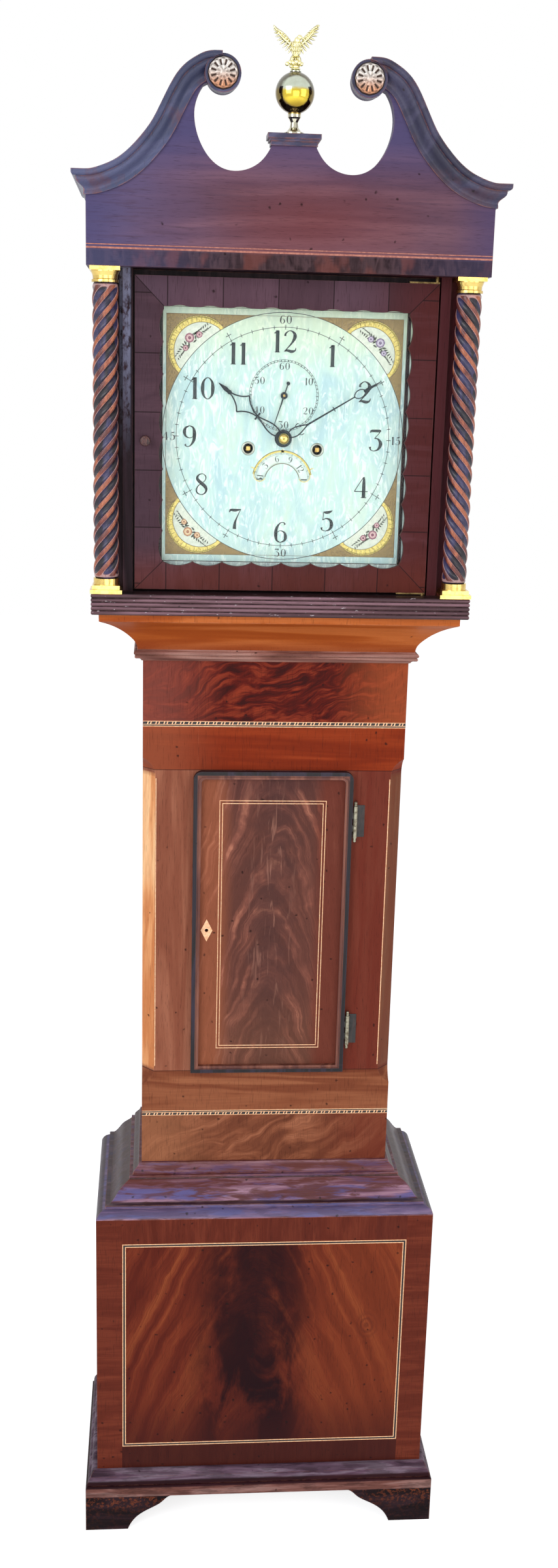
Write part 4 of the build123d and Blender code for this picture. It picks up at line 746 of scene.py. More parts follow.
def lip_finish():
    finish, shader, place = new_finish("door_lip_mahogany")
    polish(shader, 0.34, 0.25, 0.08)
    across, height = spread(place, "XZ")
    low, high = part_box("trunk_door_moulding")
    off_side = high[0] - abs(across)
    off_end = (high[2] - low[2]) / 2 - abs(height - (high[2] + low[2]) / 2)
    inset = reckon("MINIMUM", off_side, off_end)
    # The near-black outer rim is the dark lip, partly a painted shadow of the gap round the door.
    rim = timber(place, [(10, 6, 10), (22, 16, 24), (42, 34, 50)], along_height, 24.0, 9.0)
    field = timber(place, [(88, 46, 36), (112, 64, 50), (136, 84, 66)], along_height, 18.0, 10.0)
    colour = blend_colour(ease(inset, 0.005, 0.0062), rim, field)
    # Painted highlight: the edges take a bluish colour.
    settle(shader, place, colour, (84, 66, 84), 0.4, 0.0014, 0.1, 0.34)
    return finish


def base_finish():
    finish, shader, place = new_finish("base_panel_flame")
    polish(shader)
    across, depth, height = spread(place)
    colour = feathered(place, (142, 66, 38), (112, 46, 28), (80, 28, 20), (34, 10, 14), -0.014, 2.0, 0.095,
                       0.94)[0]
    mirrored = fit("ShaderNodeCombineXYZ", {0: abs(across + base_spine), 1: depth, 2: height})
    side_flow = flame(mirrored[0], [(84, 28, 18), (120, 50, 30), (154, 78, 44)], 8.0, -2.4, 1.3, 0.5)
    side_share = ease(abs(across + base_spine), 0.055, 0.105, 0.0, 0.85)
    colour = blend_colour(side_share, colour, side_flow)
    colour = wash(colour, height, 0.36, 0.2, (96, 36, 24), 0.5)
    colour = wash(colour, across, 0.02, 0.14, (138, 64, 34), 0.35)
    knot = knot_rings(place, *knot_spot)
    colour = tint(colour, knot, 80, 34, 24)
    smoky = ease(cloud(place * (1.6, 1.0, 0.7), 9.0, 5.0, 0.62, 0.8), 0.4, 0.56)
    near = ease(abs(across + base_spine), 0.115, 0.035)
    low_heart = ease(height, 0.46, 0.2, 0.55, 1.0)
    colour = tint(colour, smoky * near * low_heart, 26, 4, 10)
    colour = wash(colour, height, 0.24, 0.13, (54, 18, 18), 0.6)
    border = crossbanding(place, across, height)
    outside = outside_frame(across, height, *base_field)
    colour = blend_colour(outside, colour, border)
    facing = facing_side()
    flank = timber(place, [(62, 28, 22), (86, 44, 34), (108, 60, 46)], along_height, 12.0, 14.0, 0.5, 5.0)
    colour = blend_colour(ease(abs(facing), 0.6, 0.9), colour, flank)
    settle(shader, place, colour, (172, 100, 70), 0.3, 0.002, 0.34, 0.36)
    return finish


def knot_rings(place, x, z):
    off = place - (x, 0.0, z)
    flat = off * (1.0, 0.0, 0.8)
    radius = vector_sum("LENGTH", flat) + cloud(place, 40.0, 3.0) * 0.012
    ring = reckon("MULTIPLY_ADD", reckon("SINE", radius * 900.0), 0.5, 0.5)
    return ring * ease(radius, 0.034, 0.01, 0.0, 0.55)


def outside_frame(across, height, half, low, high):
    wide = reckon("GREATER_THAN", abs(across), half)
    over = reckon("GREATER_THAN", height, high)
    under = reckon("LESS_THAN", height, low)
    return reckon("MAXIMUM", wide, reckon("MAXIMUM", over, under))


def crossbanding(place, across, height):
    reds = [(88, 34, 22), (104, 44, 30), (118, 54, 36)]
    top = timber(place, reds, along_height, 34.0, 6.0, 0.5, 3.0, 0.45)
    top = wash(top, height, 0.3, 0.13, (46, 16, 16), 0.75)
    flank = timber(place, reds, along_width, 34.0, 7.0, 0.5, 3.0, 0.45)
    seed = veneer_blocks(across, 0.083)[0]
    top = tint(top, seed * 0.35, 70, 28, 24)
    wide = reckon("GREATER_THAN", abs(across), base_field[0])
    return blend_colour(wide, top, flank)


def metal(name, shade, dull, gloss=0.22, share=0.5, size=60.0, scratch=0.00004, wear=0.0, level=1.0):
    finish, shader, place = new_finish(name)
    connect(shader, {"Metallic": level})
    rub = use_group(rubbed_metal, {"Place": place, "Size": size})
    colour = blend_colour(rub["Tarnish"] * share, tone(*shade), tone(*dull))
    if wear:
        edge = use_group(edge_wear, {"Place": place, "Reach": 0.0008, "Amount": wear})
        colour = tint(colour, edge["Wear"], *[min(255, value + 40) for value in shade])
    connect(shader, {"Base Color": colour})
    rough = rub["Tarnish"] * (0.22 * share) + gloss
    connect(shader, {"Roughness": rough + rub["Rub"] * 0.06})
    raise_surface(shader, rub["Height"], scratch, 0.5)
    return finish


def opened_metal():
    shader = tree.nodes["Principled BSDF"]
    place = fit("ShaderNodeTexCoord", {})["Object"]
    return shader, place, Reading(shader.inputs["Base Color"].links[0].from_socket)


def hinge_finish():
    finish = metal("hinge_brass", (150, 146, 128), (78, 62, 46), 0.4, 0.8, 140.0, wear=0.5)
    shader, place, metal_shade = opened_metal()
    across = one_way(place, "X")
    barrel = ease(abs(across - hinge_line), 0.0036, 0.0026)
    # Painted shadow: the hinge leaves are coloured near-black for the shade in the gap beside the door; only
    # the barrel shows metal.
    gap_painted_shadow = timber(place, [(12, 8, 8), (24, 16, 16), (44, 30, 26)], along_height, 60.0, 4.0)
    colour = blend_colour(barrel, gap_painted_shadow, metal_shade)
    connect(shader, {"Base Color": colour, "Metallic": ease(barrel, 0.0, 1.0, 0.0, 1.0)})
    return finish


def hood_brass_finish():
    finish = metal("hood_pivot_brass", (132, 112, 72), (66, 48, 34), 0.42, 0.8, 120.0, wear=0.4)
    shader, place, metal_shade = opened_metal()
    across = one_way(place, "X")
    knob = ease(across, -0.165, -0.17)
    turned = timber(place, [(36, 18, 20), (70, 38, 38), (104, 64, 58)], along_height, 120.0, 3.0)
    colour = blend_colour(knob, metal_shade, turned)
    connect(shader, {"Base Color": colour, "Metallic": ease(knob, 0.0, 1.0, 1.0, 0.1)})
    return finish


def rosette_finish():
    finish, shader, place = new_finish("rosette_brass")
    connect(shader, {"Metallic": 0.85})
    depth, height = spread(place, "YZ")
    rub = use_group(rubbed_metal, {"Place": place, "Size": 160.0})
    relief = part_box("rosettes")[1][1] - 0.0006 - depth
    # Painted reflection: the upper part of each rosette is pale silver and the lower part warm copper.
    low = ease(height, 2.09, 2.068)
    painted_reflection_by_height = blend_colour(low, tone(196, 190, 184), tone(178, 126, 96))
    colour = tint(painted_reflection_by_height, ease(relief, 0.0024, 0.0014), 64, 48, 42)
    colour = tint(colour, rub["Tarnish"] * 0.3, 72, 54, 44)
    connect(shader, {"Base Color": colour, "Roughness": ease(rub["Rub"], 0.2, 0.8, 0.34, 0.46)})
    raise_surface(shader, rub["Height"], 0.00002, 0.3)
    return finish


def ball_finish():
    finish, shader, place = new_finish("ball_brass")
    connect(shader, {"Metallic": 1.0})
    off = vector_sum("SUBTRACT", place, ball_centre)
    height = one_way(off, "Z")
    rub = use_group(rubbed_metal, {"Place": place, "Size": 46.0})
    wander = (cloud(place, 60.0, 3.0) - 0.5) * 0.006
    level = height + wander
    # Painted reflection: the top of the ball is pale silver, the lower part darker yellow as painted shade, and
    # a dark band round the rim is a painted dark reflection.
    colour = blend_colour(ease(level, 0.0, 0.0045), tone(226, 198, 70), tone(214, 224, 206))
    colour = wash(colour, level, -0.006, -0.018, (140, 112, 40), 0.85)
    edge_run = vector_sum("LENGTH", off * (1.0, 0.0, 1.0)) + wander
    on_ball = ease(vector_sum("LENGTH", off), 0.0252, 0.0247)
    tarnish_and_dark_reflection = ease(edge_run, 0.016, 0.019, 0.0, 0.82) * on_ball
    colour = tint(colour, tarnish_and_dark_reflection, 84, 72, 62)
    colour = wash(colour, vector_sum("LENGTH", off), 0.0255, 0.0262, (206, 204, 186), 0.85)
    colour = tint(colour, rub["Tarnish"] * 0.2, 110, 86, 50)
    connect(shader, {"Base Color": colour, "Roughness": ease(rub["Rub"], 0.2, 0.8, 0.06, 0.14)})
    raise_surface(shader, rub["Height"], 0.00002, 0.3)
    return finish


def clear_glass():
    finish, shader, place = new_finish("old_door_glass")
    connect(shader, {"Base Color": (0.95, 0.98, 0.97, 1.0), "Transmission Weight": 1.0, "IOR": 1.16})
    waves = cloud(place * (1.0, 1.0, 0.4), 9.0, 2.0, 0.5)
    smears = cloud(place, 28.0, 3.0, 0.6)
    connect(shader, {"Roughness": ease(smears, 0.45, 0.8, 0.0, 0.004)})
    raise_surface(shader, waves, 0.0001, 0.05)
    return finish


def dial_paint(name, shade, blue, warm, crackle=0.25):
    finish, shader, place = new_finish(name)
    polish(shader, 0.3, 0.4, 0.12)
    drift = cloud(place * (1.0, 1.0, 0.45), 26.0, 4.0, 0.62, 1.2)
    colour = stain(drift, graded((blue, shade, warm), 0.3, 0.52, 0.75))
    streak = cloud(place * (1.0, 1.0, 0.32), 95.0, 3.0, 0.7, 2.2)
    colour = tint(colour, ease(streak, 0.5, 0.62, 0.0, 0.8), 232, 244, 238)
    warmth = ease(one_way(place, "Z"), 1.72, 1.8, 0.0, 0.5)
    colour = tint(colour, warmth, 214, 222, 178)
    veins = fit("ShaderNodeTexVoronoi", {"Vector": place, "Scale": 60.0},
                feature="DISTANCE_TO_EDGE")["Distance"]
    cracks = ease(veins, 0.01, 0.0, 0.0, crackle)
    patch = ease(cloud(place, 14.0, 2.0), 0.45, 0.62)
    colour = tint(colour, cracks * patch, 150, 168, 160)
    connect(shader, {"Base Color": colour, "Roughness": ease(streak, 0.3, 0.7, 0.22, 0.42)})
    raise_surface(shader, drift, 0.0001, 0.4)
    return finish


def pigment(name, shade, light, size=160.0, gloss=0.45, metallic=0.0):
    finish, shader, place = new_finish(name)
    connect(shader, {"Metallic": metallic})
    mottle = cloud(place, size, 4.0, 0.65)
    colour = stain(mottle, graded((shade, light), 0.38, 0.68))
    connect(shader, {"Base Color": colour, "Roughness": ease(mottle, 0.3, 0.7, gloss - 0.08, gloss + 0.12)})
    raise_surface(shader, mottle, 0.00006, 0.4)
    return finish


def seen_rays():
    path = fit("ShaderNodeLightPath", {})
    through = reckon("MAXIMUM", path["Is Glossy Ray"], path["Is Transmission Ray"])
    return reckon("MAXIMUM", path["Is Camera Ray"], through)


def studio_floor():
    finish, shader, place = new_finish("studio_floor")
    mottle = cloud(place, 3.0, 3.0)
    connect(shader, {"Base Color": stain(mottle, [(0.3, (0.74, 0.74, 0.74, 1.0)),
                                                  (0.7, (0.78, 0.78, 0.78, 1.0))]), "Roughness": 0.9,
                     "Specular IOR Level": 0.0, "Emission Color": (1.0, 1.0, 1.0, 1.0),
                     "Emission Strength": seen_rays() * 0.72})
    mesh = bpy.data.meshes.new("studio_floor")
    mesh.from_pydata([(-9, -7, 0), (9, -7, 0), (9, 9, 0), (-9, 9, 0)], [], [(0, 1, 2, 3)])
    floor = bpy.data.objects.new("studio_floor", mesh)
    bpy.context.scene.collection.objects.link(floor)
    mesh.materials.append(finish)


def studio_air(level, shade):
    world = bpy.data.worlds.new("studio_air")
    bpy.context.scene.world = world
    world.use_nodes = True
    open_tree(world.node_tree)
    tree.nodes.clear()
    leave = tree.nodes.new("ShaderNodeOutputWorld")
    glow = fit("ShaderNodeBackground", {"Color": shade, "Strength": level})
    white = fit("ShaderNodeBackground", {"Color": (1.0, 1.0, 1.0, 1.0), "Strength": 1.0})
    mixed = fit("ShaderNodeMixShader", {0: seen_rays(), 1: glow[0], 2: white[0]})
    connect(leave, {0: mixed[0]})

# Painted strokes


def curve_between(t, a, b, c, d):
    bend = (2 * a - 5 * b + 4 * c - d) * t * t + (3 * b - a - 3 * c + d) * t ** 3
    return 0.5 * (2 * b + (c - a) * t + bend)


def smooth_path(points, closed=False, steps=10):
    count = len(points)
    spans = count if closed else count - 1
    made = []
    for span in range(spans):
        four = []
        for shift in (-1, 0, 1, 2):
            place = span + shift
            four.append(points[place % count] if closed else points[min(max(place, 0), count - 1)])
        for step in range(steps):
            t = step / steps
            made.append(tuple(curve_between(t, *values) for values in zip(*four)))
    if not closed:
        made.append(tuple(points[-1]))
    return made


def lay_stroke(mesh, points, closed=False, steps=10):
    track = smooth_path(points, closed, steps)
    count = len(track)
    left = []
    right = []
    for index, (x, z, wide) in enumerate(track):
        before = track[(index - 1) % count] if closed or index else track[0]
        after = track[(index + 1) % count] if closed or index < count - 1 else track[-1]
        along = Vector((after[0] - before[0], after[1] - before[1]))
        if along.length < 1e-9:
            along = Vector((1.0, 0.0))
        along.normalize()
        side = Vector((-along.y, along.x)) * wide / 2
        left.append(mesh.verts.new((x + side.x, 0.0, z + side.y)))
        right.append(mesh.verts.new((x - side.x, 0.0, z - side.y)))
    for index in range(count if closed else count - 1):
        after = (index + 1) % count
        mesh.faces.new((left[index], right[index], right[after], left[after]))


def lay_disc(mesh, x, z, radius, sides=24, squeeze=1.0, turn=0.0):
    ring = []
    for step in range(sides):
        angle = math.tau * step / sides
        u = radius * math.cos(angle)
        v = radius * squeeze * math.sin(angle)
        ring.append(mesh.verts.new((x + u * math.cos(turn) - v * math.sin(turn), 0.0,
                                    z + u * math.sin(turn) + v * math.cos(turn))))
    mesh.faces.new(ring)


def lay_ring(mesh, x, z, inner, outer, start=0.0, end=360.0, steps=180):
    closed = end - start >= 360.0
    first = []
    second = []
    for step in range(steps if closed else steps + 1):
        angle = math.radians(start + (end - start) * step / steps)
        first.append(mesh.verts.new((x + inner * math.sin(angle), 0.0, z + inner * math.cos(angle))))
        second.append(mesh.verts.new((x + outer * math.sin(angle), 0.0, z + outer * math.cos(angle))))
    for step in range(steps):
        after = (step + 1) % len(first)
        mesh.faces.new((first[step], second[step], second[after], first[after]))


def solid_piece(name, mesh, finish, body, smooth=True):
    bmesh.ops.recalc_face_normals(mesh, faces=mesh.faces)
    data = bpy.data.meshes.new(name)
    mesh.to_mesh(data)
    mesh.free()
    for face in data.polygons:
        face.use_smooth = smooth
    made = bpy.data.objects.new(name, data)
    bpy.context.scene.collection.objects.link(made)
    data.materials.append(finish)
    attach(made, body)
    return made


def painted_piece(name, mesh, finish, body="case", depth=paint_level, thick=0.00006):
    made = solid_piece(name, mesh, finish, body, False)
    for vertex in made.data.vertices:
        vertex.co.y += depth
    body_of_paint = made.modifiers.new("paint_thickness", "SOLIDIFY")
    body_of_paint.thickness = thick
    body_of_paint.offset = 0.0

# Numerals, each in a box one high: strokes of (across, up, width)
thin = 0.032
thick = 0.150
looped_numerals = "08"
numerals = {
    "0": (0.62, [[(0.31, 0.985, thin), (0.12, 0.82, 0.09), (0.07, 0.5, thick), (0.12, 0.18, 0.09),
                (0.31, 0.015, thin), (0.5, 0.18, 0.09), (0.55, 0.5, thick), (0.5, 0.82, 0.09)]]),
    "1": (0.3, [[(0.18, 0.02, thick), (0.18, 0.5, thick), (0.18, 0.985, thick)],
               [(0.01, 0.86, thin), (0.08, 0.88, 0.05), (0.16, 0.97, 0.05)],
               [(0.06, 0.012, thin), (0.3, 0.012, thin)]]),
    "2": (0.62, [[(0.07, 0.74, 0.1), (0.09, 0.86, 0.07), (0.28, 0.985, thin), (0.47, 0.89, 0.1),
                (0.52, 0.71, thick), (0.4, 0.46, 0.08), (0.2, 0.22, 0.045), (0.04, 0.05, thin)],
               [(0.04, 0.05, thin), (0.17, 0.095, 0.09), (0.38, 0.05, 0.12), (0.54, 0.1, 0.06),
                (0.58, 0.22, thin)]]),
    "3": (0.62, [[(0.05, 0.86, 0.03), (0.11, 0.935, 0.1), (0.3, 0.945, 0.11), (0.5, 0.945, 0.11),
                (0.57, 0.965, thin)],
               [(0.55, 0.94, thin), (0.42, 0.77, thin), (0.26, 0.59, thin)],
               [(0.26, 0.59, thin), (0.44, 0.56, 0.07), (0.56, 0.34, 0.155), (0.46, 0.1, 0.09),
                (0.25, 0.012, thin), (0.09, 0.07, 0.05), (0.06, 0.2, 0.1)]]),
    "4": (0.72, [[(0.46, 0.985, thin), (0.25, 0.66, thin), (0.03, 0.3, thin)],
               [(0.03, 0.3, thin), (0.68, 0.3, thin)],
               [(0.48, 0.99, 0.05), (0.48, 0.8, 0.12), (0.48, 0.4, thick), (0.48, 0.02, thick)],
               [(0.35, 0.012, thin), (0.62, 0.012, thin)]]),
    "5": (0.6, [[(0.15, 0.92, thin), (0.24, 0.895, 0.1), (0.38, 0.905, 0.12), (0.5, 0.95, 0.07),
                (0.56, 1.0, thin)],
               [(0.15, 0.93, thin), (0.13, 0.75, thin), (0.11, 0.53, thin)],
               [(0.11, 0.53, thin), (0.28, 0.61, 0.05), (0.48, 0.52, 0.11), (0.54, 0.31, thick),
                (0.46, 0.1, 0.09), (0.25, 0.012, thin), (0.09, 0.07, 0.05), (0.06, 0.18, 0.1)]]),
    "6": (0.62, [[(0.52, 0.87, 0.09), (0.44, 0.975, thin), (0.27, 0.93, 0.05), (0.11, 0.68, 0.12),
                (0.08, 0.36, thick), (0.14, 0.11, 0.08), (0.31, 0.015, thin)],
               [(0.31, 0.015, thin), (0.5, 0.12, 0.09), (0.55, 0.3, 0.14), (0.49, 0.49, 0.08),
                (0.31, 0.575, thin), (0.15, 0.5, thin), (0.09, 0.34, 0.05)]]),
    "7": (0.6, [[(0.04, 0.82, 0.05), (0.09, 0.93, 0.09), (0.32, 0.92, 0.12), (0.58, 0.965, thin)],
               [(0.57, 0.96, thin), (0.44, 0.68, 0.04), (0.31, 0.34, 0.1), (0.28, 0.03, 0.155)]]),
    "8": (0.62, [[(0.31, 0.985, thin), (0.15, 0.9, 0.07), (0.11, 0.74, 0.12), (0.28, 0.56, 0.14),
                (0.47, 0.4, 0.14), (0.54, 0.23, 0.1), (0.46, 0.07, 0.06), (0.3, 0.012, thin),
                (0.12, 0.08, 0.06), (0.07, 0.24, 0.06), (0.16, 0.42, 0.04), (0.33, 0.55, thin),
                (0.48, 0.68, thin), (0.51, 0.84, 0.05), (0.43, 0.95, thin)]]),
    "9": (0.62, [[(0.1, 0.13, 0.09), (0.18, 0.025, thin), (0.35, 0.07, 0.05), (0.51, 0.32, 0.12),
                (0.54, 0.64, thick), (0.48, 0.89, 0.08), (0.31, 0.985, thin)],
               [(0.31, 0.985, thin), (0.12, 0.88, 0.09), (0.07, 0.7, 0.14), (0.13, 0.51, 0.08),
                (0.31, 0.425, thin), (0.47, 0.5, thin), (0.53, 0.66, 0.05)]]),
}


def write_number(mesh, text, x, z, height, turn=0.0, gap=0.17, weight=1.0):
    wide = sum(numerals[mark][0] for mark in text) + gap * (len(text) - 1)
    start = -wide / 2
    cosine = math.cos(turn)
    sine = math.sin(turn)
    for mark in text:
        for stroke in numerals[mark][1]:
            placed = []
            for across, up, broad in stroke:
                u = (start + across) * height
                v = (up - 0.5) * height
                placed.append((x + u * cosine + v * sine, z - u * sine + v * cosine, broad * height * weight))
            lay_stroke(mesh, placed, mark in looped_numerals, 9)
        start += numerals[mark][0] + gap


def on_ring(x, z, radius, degrees):
    angle = math.radians(degrees)
    return x + radius * math.sin(angle), z + radius * math.cos(angle)


def lay_tick(mesh, z, inner, outer, degrees, wide):
    ends = [on_ring(0.0, z, radius, degrees) + (wide,) for radius in (inner, outer)]
    lay_stroke(mesh, ends, steps=1)


def ring_number(mesh, number, z, radius, degrees, height, **ways):
    write_number(mesh, str(number), *on_ring(0.0, z, radius, degrees), height, **ways)

# Dial painting


def dial_figures(finish):
    ink = bmesh.new()
    for hour in range(1, 13):
        ring_number(ink, hour, hands_z, numeral_ring, hour * 30, numeral_height, weight=1.12)
    painted_piece("hour_numerals", ink, finish)
    ink = bmesh.new()
    lay_ring(ink, 0.0, hands_z, minute_ring - 0.00032, minute_ring + 0.00032, steps=240)
    lay_ring(ink, 0.0, hands_z, outer_ring - 0.00070, outer_ring + 0.00010, steps=240)
    for minute in range(60):
        long_tick = 0.0030 if minute % 5 == 0 else 0.0024
        lay_tick(ink, hands_z, minute_ring - long_tick, minute_ring + long_tick, minute * 6, 0.0008)
        if minute % 15 == 0:
            ring_number(ink, minute or 60, hands_z, 0.1512, minute * 6, 0.0106, gap=0.20, weight=1.08)
        elif minute % 5 == 0:
            for lean in (0.0, 90.0):
                x, z = on_ring(0.0, hands_z, 0.1490, minute * 6)
                angle = math.radians(minute * 6 + lean)
                reach = Vector((math.sin(angle), math.cos(angle))) * 0.0036
                ends = [(x - reach.x, z - reach.y, 0.0012), (x, z, 0.0007), (x + reach.x, z + reach.y, 0.0012)]
                lay_stroke(ink, ends, steps=4)
    painted_piece("minute_track", ink, finish)
    ink = bmesh.new()
    lay_ring(ink, 0.0, seconds_z, seconds_ring - 0.00190, seconds_ring - 0.00140, steps=150)
    lay_ring(ink, 0.0, seconds_z, seconds_ring + 0.00020, seconds_ring + 0.00068, steps=150)
    for second in range(60):
        reach = 0.0011 if second % 5 == 0 else 0.0
        lay_tick(ink, seconds_z, seconds_ring - 0.0017 - reach, seconds_ring + 0.0004, second * 6, 0.0009)
        if second % 10 == 0:
            ring_number(ink, second or 60, seconds_z, 0.0376, second * 6, 0.0092, gap=0.20, weight=1.08)
    painted_piece("seconds_track", ink, finish)


def calendar_figures(finish, gilt, shade):
    ink = bmesh.new()
    for day in range(1, 32):
        angle = (day - 7.2) * 360.0 / 31.0
        lay_tick(ink, calendar_z, 0.0352, 0.0374, angle, 0.0004)
        if day % 3 == 0 or day == 31:
            ring_number(ink, day, calendar_z, 0.0297, angle, 0.0082, turn=math.radians(angle), gap=0.12)
    lay_ring(ink, 0.0, calendar_z, 0.0351, 0.03525, steps=120)
    painted_piece("calendar_figures", ink, finish, "calendar", calendar_face - paint_gap)
    edge = bmesh.new()
    lay_ring(edge, 0.0, calendar_z, 0.0378, 0.04, -77.0, 77.0, 60)
    for side in (-1, 1):
        x, z = on_ring(0.0, calendar_z, 0.0306, side * 76.0)
        start = 60.0 if side > 0 else 120.0
        lay_ring(edge, x, z, 0.0074, 0.0084, start, start + 180.0, 24)
        tip_x, tip_z = on_ring(0.0, calendar_z, 0.041, side * 66.0)
        lay_stroke(edge, [(tip_x, tip_z - 0.001, 0.0016), (tip_x + side * 0.002, tip_z + 0.0006, 0.0013),
                          (tip_x + side * 0.0052, tip_z + 0.0012, 0.0002)], steps=5)
        for step in range(9):
            bead_x, bead_z = on_ring(0.0, calendar_z, 0.0398, side * (8 + step * 8))
            lay_disc(edge, bead_x, bead_z, 0.00065, 8)
    lay_stroke(edge, [(0.0, calendar_z + 0.0372, 0.0022), (0.0, calendar_z + 0.0392, 0.004),
                      (0.0, calendar_z + 0.0418, 0.0006)], steps=5)
    painted_piece("calendar_gilt_edge", edge, gilt)
    line = bmesh.new()
    lay_ring(line, 0.0, calendar_z, 0.0228, 0.0236, -78.0, 78.0, 60)
    lay_ring(line, 0.0, calendar_z, 0.04, 0.0406, -77.0, 77.0, 60)
    painted_piece("calendar_shade_line", line, shade)


def corner_spot(side, level, u, v):
    return side * u, hands_z + level * v


def lay_patch(mesh, side, level, points):
    spots = [corner_spot(side, level, u, v) for u, v in points]
    mesh.faces.new([mesh.verts.new((x, 0.0, z)) for x, z in spots])


def corner_arcs(reach, radius, steps=40):
    share = (outer_ring ** 2 - reach ** 2 - radius ** 2) / (2 * reach * radius)
    half = math.acos(max(-1.0, min(1.0, share)))
    spot = reach / math.sqrt(2)
    made = []
    for step in range(steps + 1):
        angle = math.radians(45) - half + 2 * half * step / steps
        made.append((spot + radius * math.cos(angle), spot + radius * math.sin(angle)))
    return made


def ring_run(first, last, radius, steps=24):
    a = math.atan2(first[1], first[0])
    b = math.atan2(last[1], last[0])
    return [(radius * math.cos(a + (b - a) * step / steps),
             radius * math.sin(a + (b - a) * step / steps)) for step in range(steps + 1)]


def corner_painting(ground, gilt, gilt_shade, cream, blooms, leaf_finish):
    reach = 0.1115 * math.sqrt(2)
    outer = corner_arcs(reach, 0.0405)
    inner = corner_arcs(reach - 0.004, 0.0365)
    tip = math.sqrt(outer_ring ** 2 - square_half ** 2)
    layers = {"ground": bmesh.new(), "gilt": bmesh.new(), "cream": bmesh.new(), "shade": bmesh.new()}
    for side in (-1, 1):
        for level in (-1, 1):
            back = ring_run((tip, square_half), (square_half, tip), outer_ring + 0.0001, 40)
            lay_patch(layers["ground"], side, level, [(square_half, square_half)] + back)
            for four in zip(outer, outer[1:], inner[1:], inner):
                lay_patch(layers["gilt"], side, level, four)
            edge = ring_run(inner[0], inner[-1], outer_ring + 0.0001, len(inner) - 1)
            for four in zip(inner[1:-1], inner[2:-1], edge[2:-1], edge[1:-1]):
                lay_patch(layers["cream"], side, level, four)
            for step in range(3, 38):
                u, v = outer[step]
                x, z = corner_spot(side, level, u, v)
                lay_disc(layers["gilt"], x, z, 0.00135, 10)
                if step % 2 == 0:
                    w, t = inner[step]
                    near = corner_spot(side, level, w + (u - w) * 0.15, t + (v - t) * 0.15)
                    far = corner_spot(side, level, w + (u - w) * 0.8, t + (v - t) * 0.8)
                    lay_stroke(layers["shade"], [(near[0], near[1], 0.0003), (far[0], far[1], 0.0007)], steps=1)
            for arc, wide in ((inner, 0.0007), (corner_arcs(reach, 0.0418), 0.0005)):
                rim = [corner_spot(side, level, u, v) + (wide,) for u, v in arc[1:-1]]
                lay_stroke(layers["shade"], rim, steps=1)
    lay_square(layers["shade"], square_half, 0.0004)
    for order, (name, finish) in enumerate((("ground", ground), ("gilt", gilt), ("cream", cream),
                                            ("shade", gilt_shade))):
        painted_piece("corner_" + name, layers[name], finish, "case", paint_level - 0.00009 * order + 0.00006)
    sprays = bmesh.new()
    for side, level, turn in ((-1, 1, 8), (1, 1, -6), (-1, -1, -10), (1, -1, 5)):
        paint_leaves(sprays, side, level, turn)
    painted_piece("corner_leaves", sprays, leaf_finish, "case", paint_level - 0.00036)
    for order, (side, level, shades) in enumerate(((-1, 1, 0), (1, 1, 1), (-1, -1, 2), (1, -1, 0))):
        paint_blooms("corner_blooms_%d" % order, side, level, blooms[shades])


def lay_square(mesh, half, wide):
    corners = [(-half, -half), (half, -half), (half, half), (-half, half)]
    for index, first in enumerate(corners):
        last = corners[(index + 1) % 4]
        lay_stroke(mesh, [(first[0], hands_z + first[1], wide), (last[0], hands_z + last[1], wide)], steps=1)


def diagonal_spot(side, level, out, across):
    u = (out - across) / math.sqrt(2)
    v = (out + across) / math.sqrt(2)
    return corner_spot(side, level, u, v)


def lay_leaf(mesh, side, level, out, across, size, angle):
    x, z = diagonal_spot(side, level, out, across)
    lean = Vector((math.cos(math.radians(angle)), math.sin(math.radians(angle)))) * size
    lay_stroke(mesh, [(x - lean.x, z - lean.y, size * 0.12), (x - lean.x * 0.3, z - lean.y * 0.3, size * 0.72),
                      (x + lean.x * 0.4, z + lean.y * 0.4, size * 0.55), (x + lean.x, z + lean.y, size * 0.05)],
               steps=5)


def paint_leaves(mesh, side, level, turn):
    for way in (-1, 1):
        stem = []
        for step in range(6):
            across = way * (0.006 + 0.0042 * step)
            x, z = diagonal_spot(side, level, 0.1735 + 0.0022 * math.sin(step * 0.9 + turn) - 0.0006 * step,
                                 across)
            stem.append((x, z, 0.0005))
        lay_stroke(mesh, stem, steps=4)
        for step in range(7):
            across = way * (0.0085 + 0.0034 * step)
            for lift in (-1, 1):
                out = 0.1735 + lift * 0.0026 - 0.0005 * step
                angle = 45 * side * level + way * lift * 38 + turn * 3 + step * 17
                lay_leaf(mesh, side, level, out, across, 0.003 - 0.00018 * step, angle)
    for step in range(6):
        lay_leaf(mesh, side, level, 0.169 + 0.0028 * (step % 3), -0.01 + 0.004 * step, 0.003,
                 turn * 5 + step * 60)


def paint_blooms(name, side, level, shades):
    spots = [(0.1768, 0.0, 0.0068), (0.171, 0.012, 0.0046), (0.1712, -0.0128, 0.0042)]
    for layer, (share, count, finish) in enumerate(((1.0, 8, shades[0]), (0.72, 7, shades[1]),
                                                    (0.45, 6, shades[2]), (0.22, 5, shades[0]))):
        petals = bmesh.new()
        for spot, (out, across, size) in enumerate(spots):
            x, z = diagonal_spot(side, level, out, across)
            for petal in range(count):
                angle = math.tau * petal / count + layer * 0.5 + spot
                reach = size * share * 0.62
                lay_disc(petals, x + reach * math.cos(angle), z + reach * math.sin(angle),
                         size * 0.4 * (0.55 + 0.45 * share), 12, 0.72, angle + math.pi / 2)
        for index, face in enumerate(petals.faces):
            for vertex in face.verts:
                vertex.co.y -= 0.0000012 * index
        painted_piece("%s_layer_%d" % (name, layer), petals, finish, "case",
                      paint_level - 0.0004 - 0.00007 * layer, 0.00002)

# Turned and drawn pieces


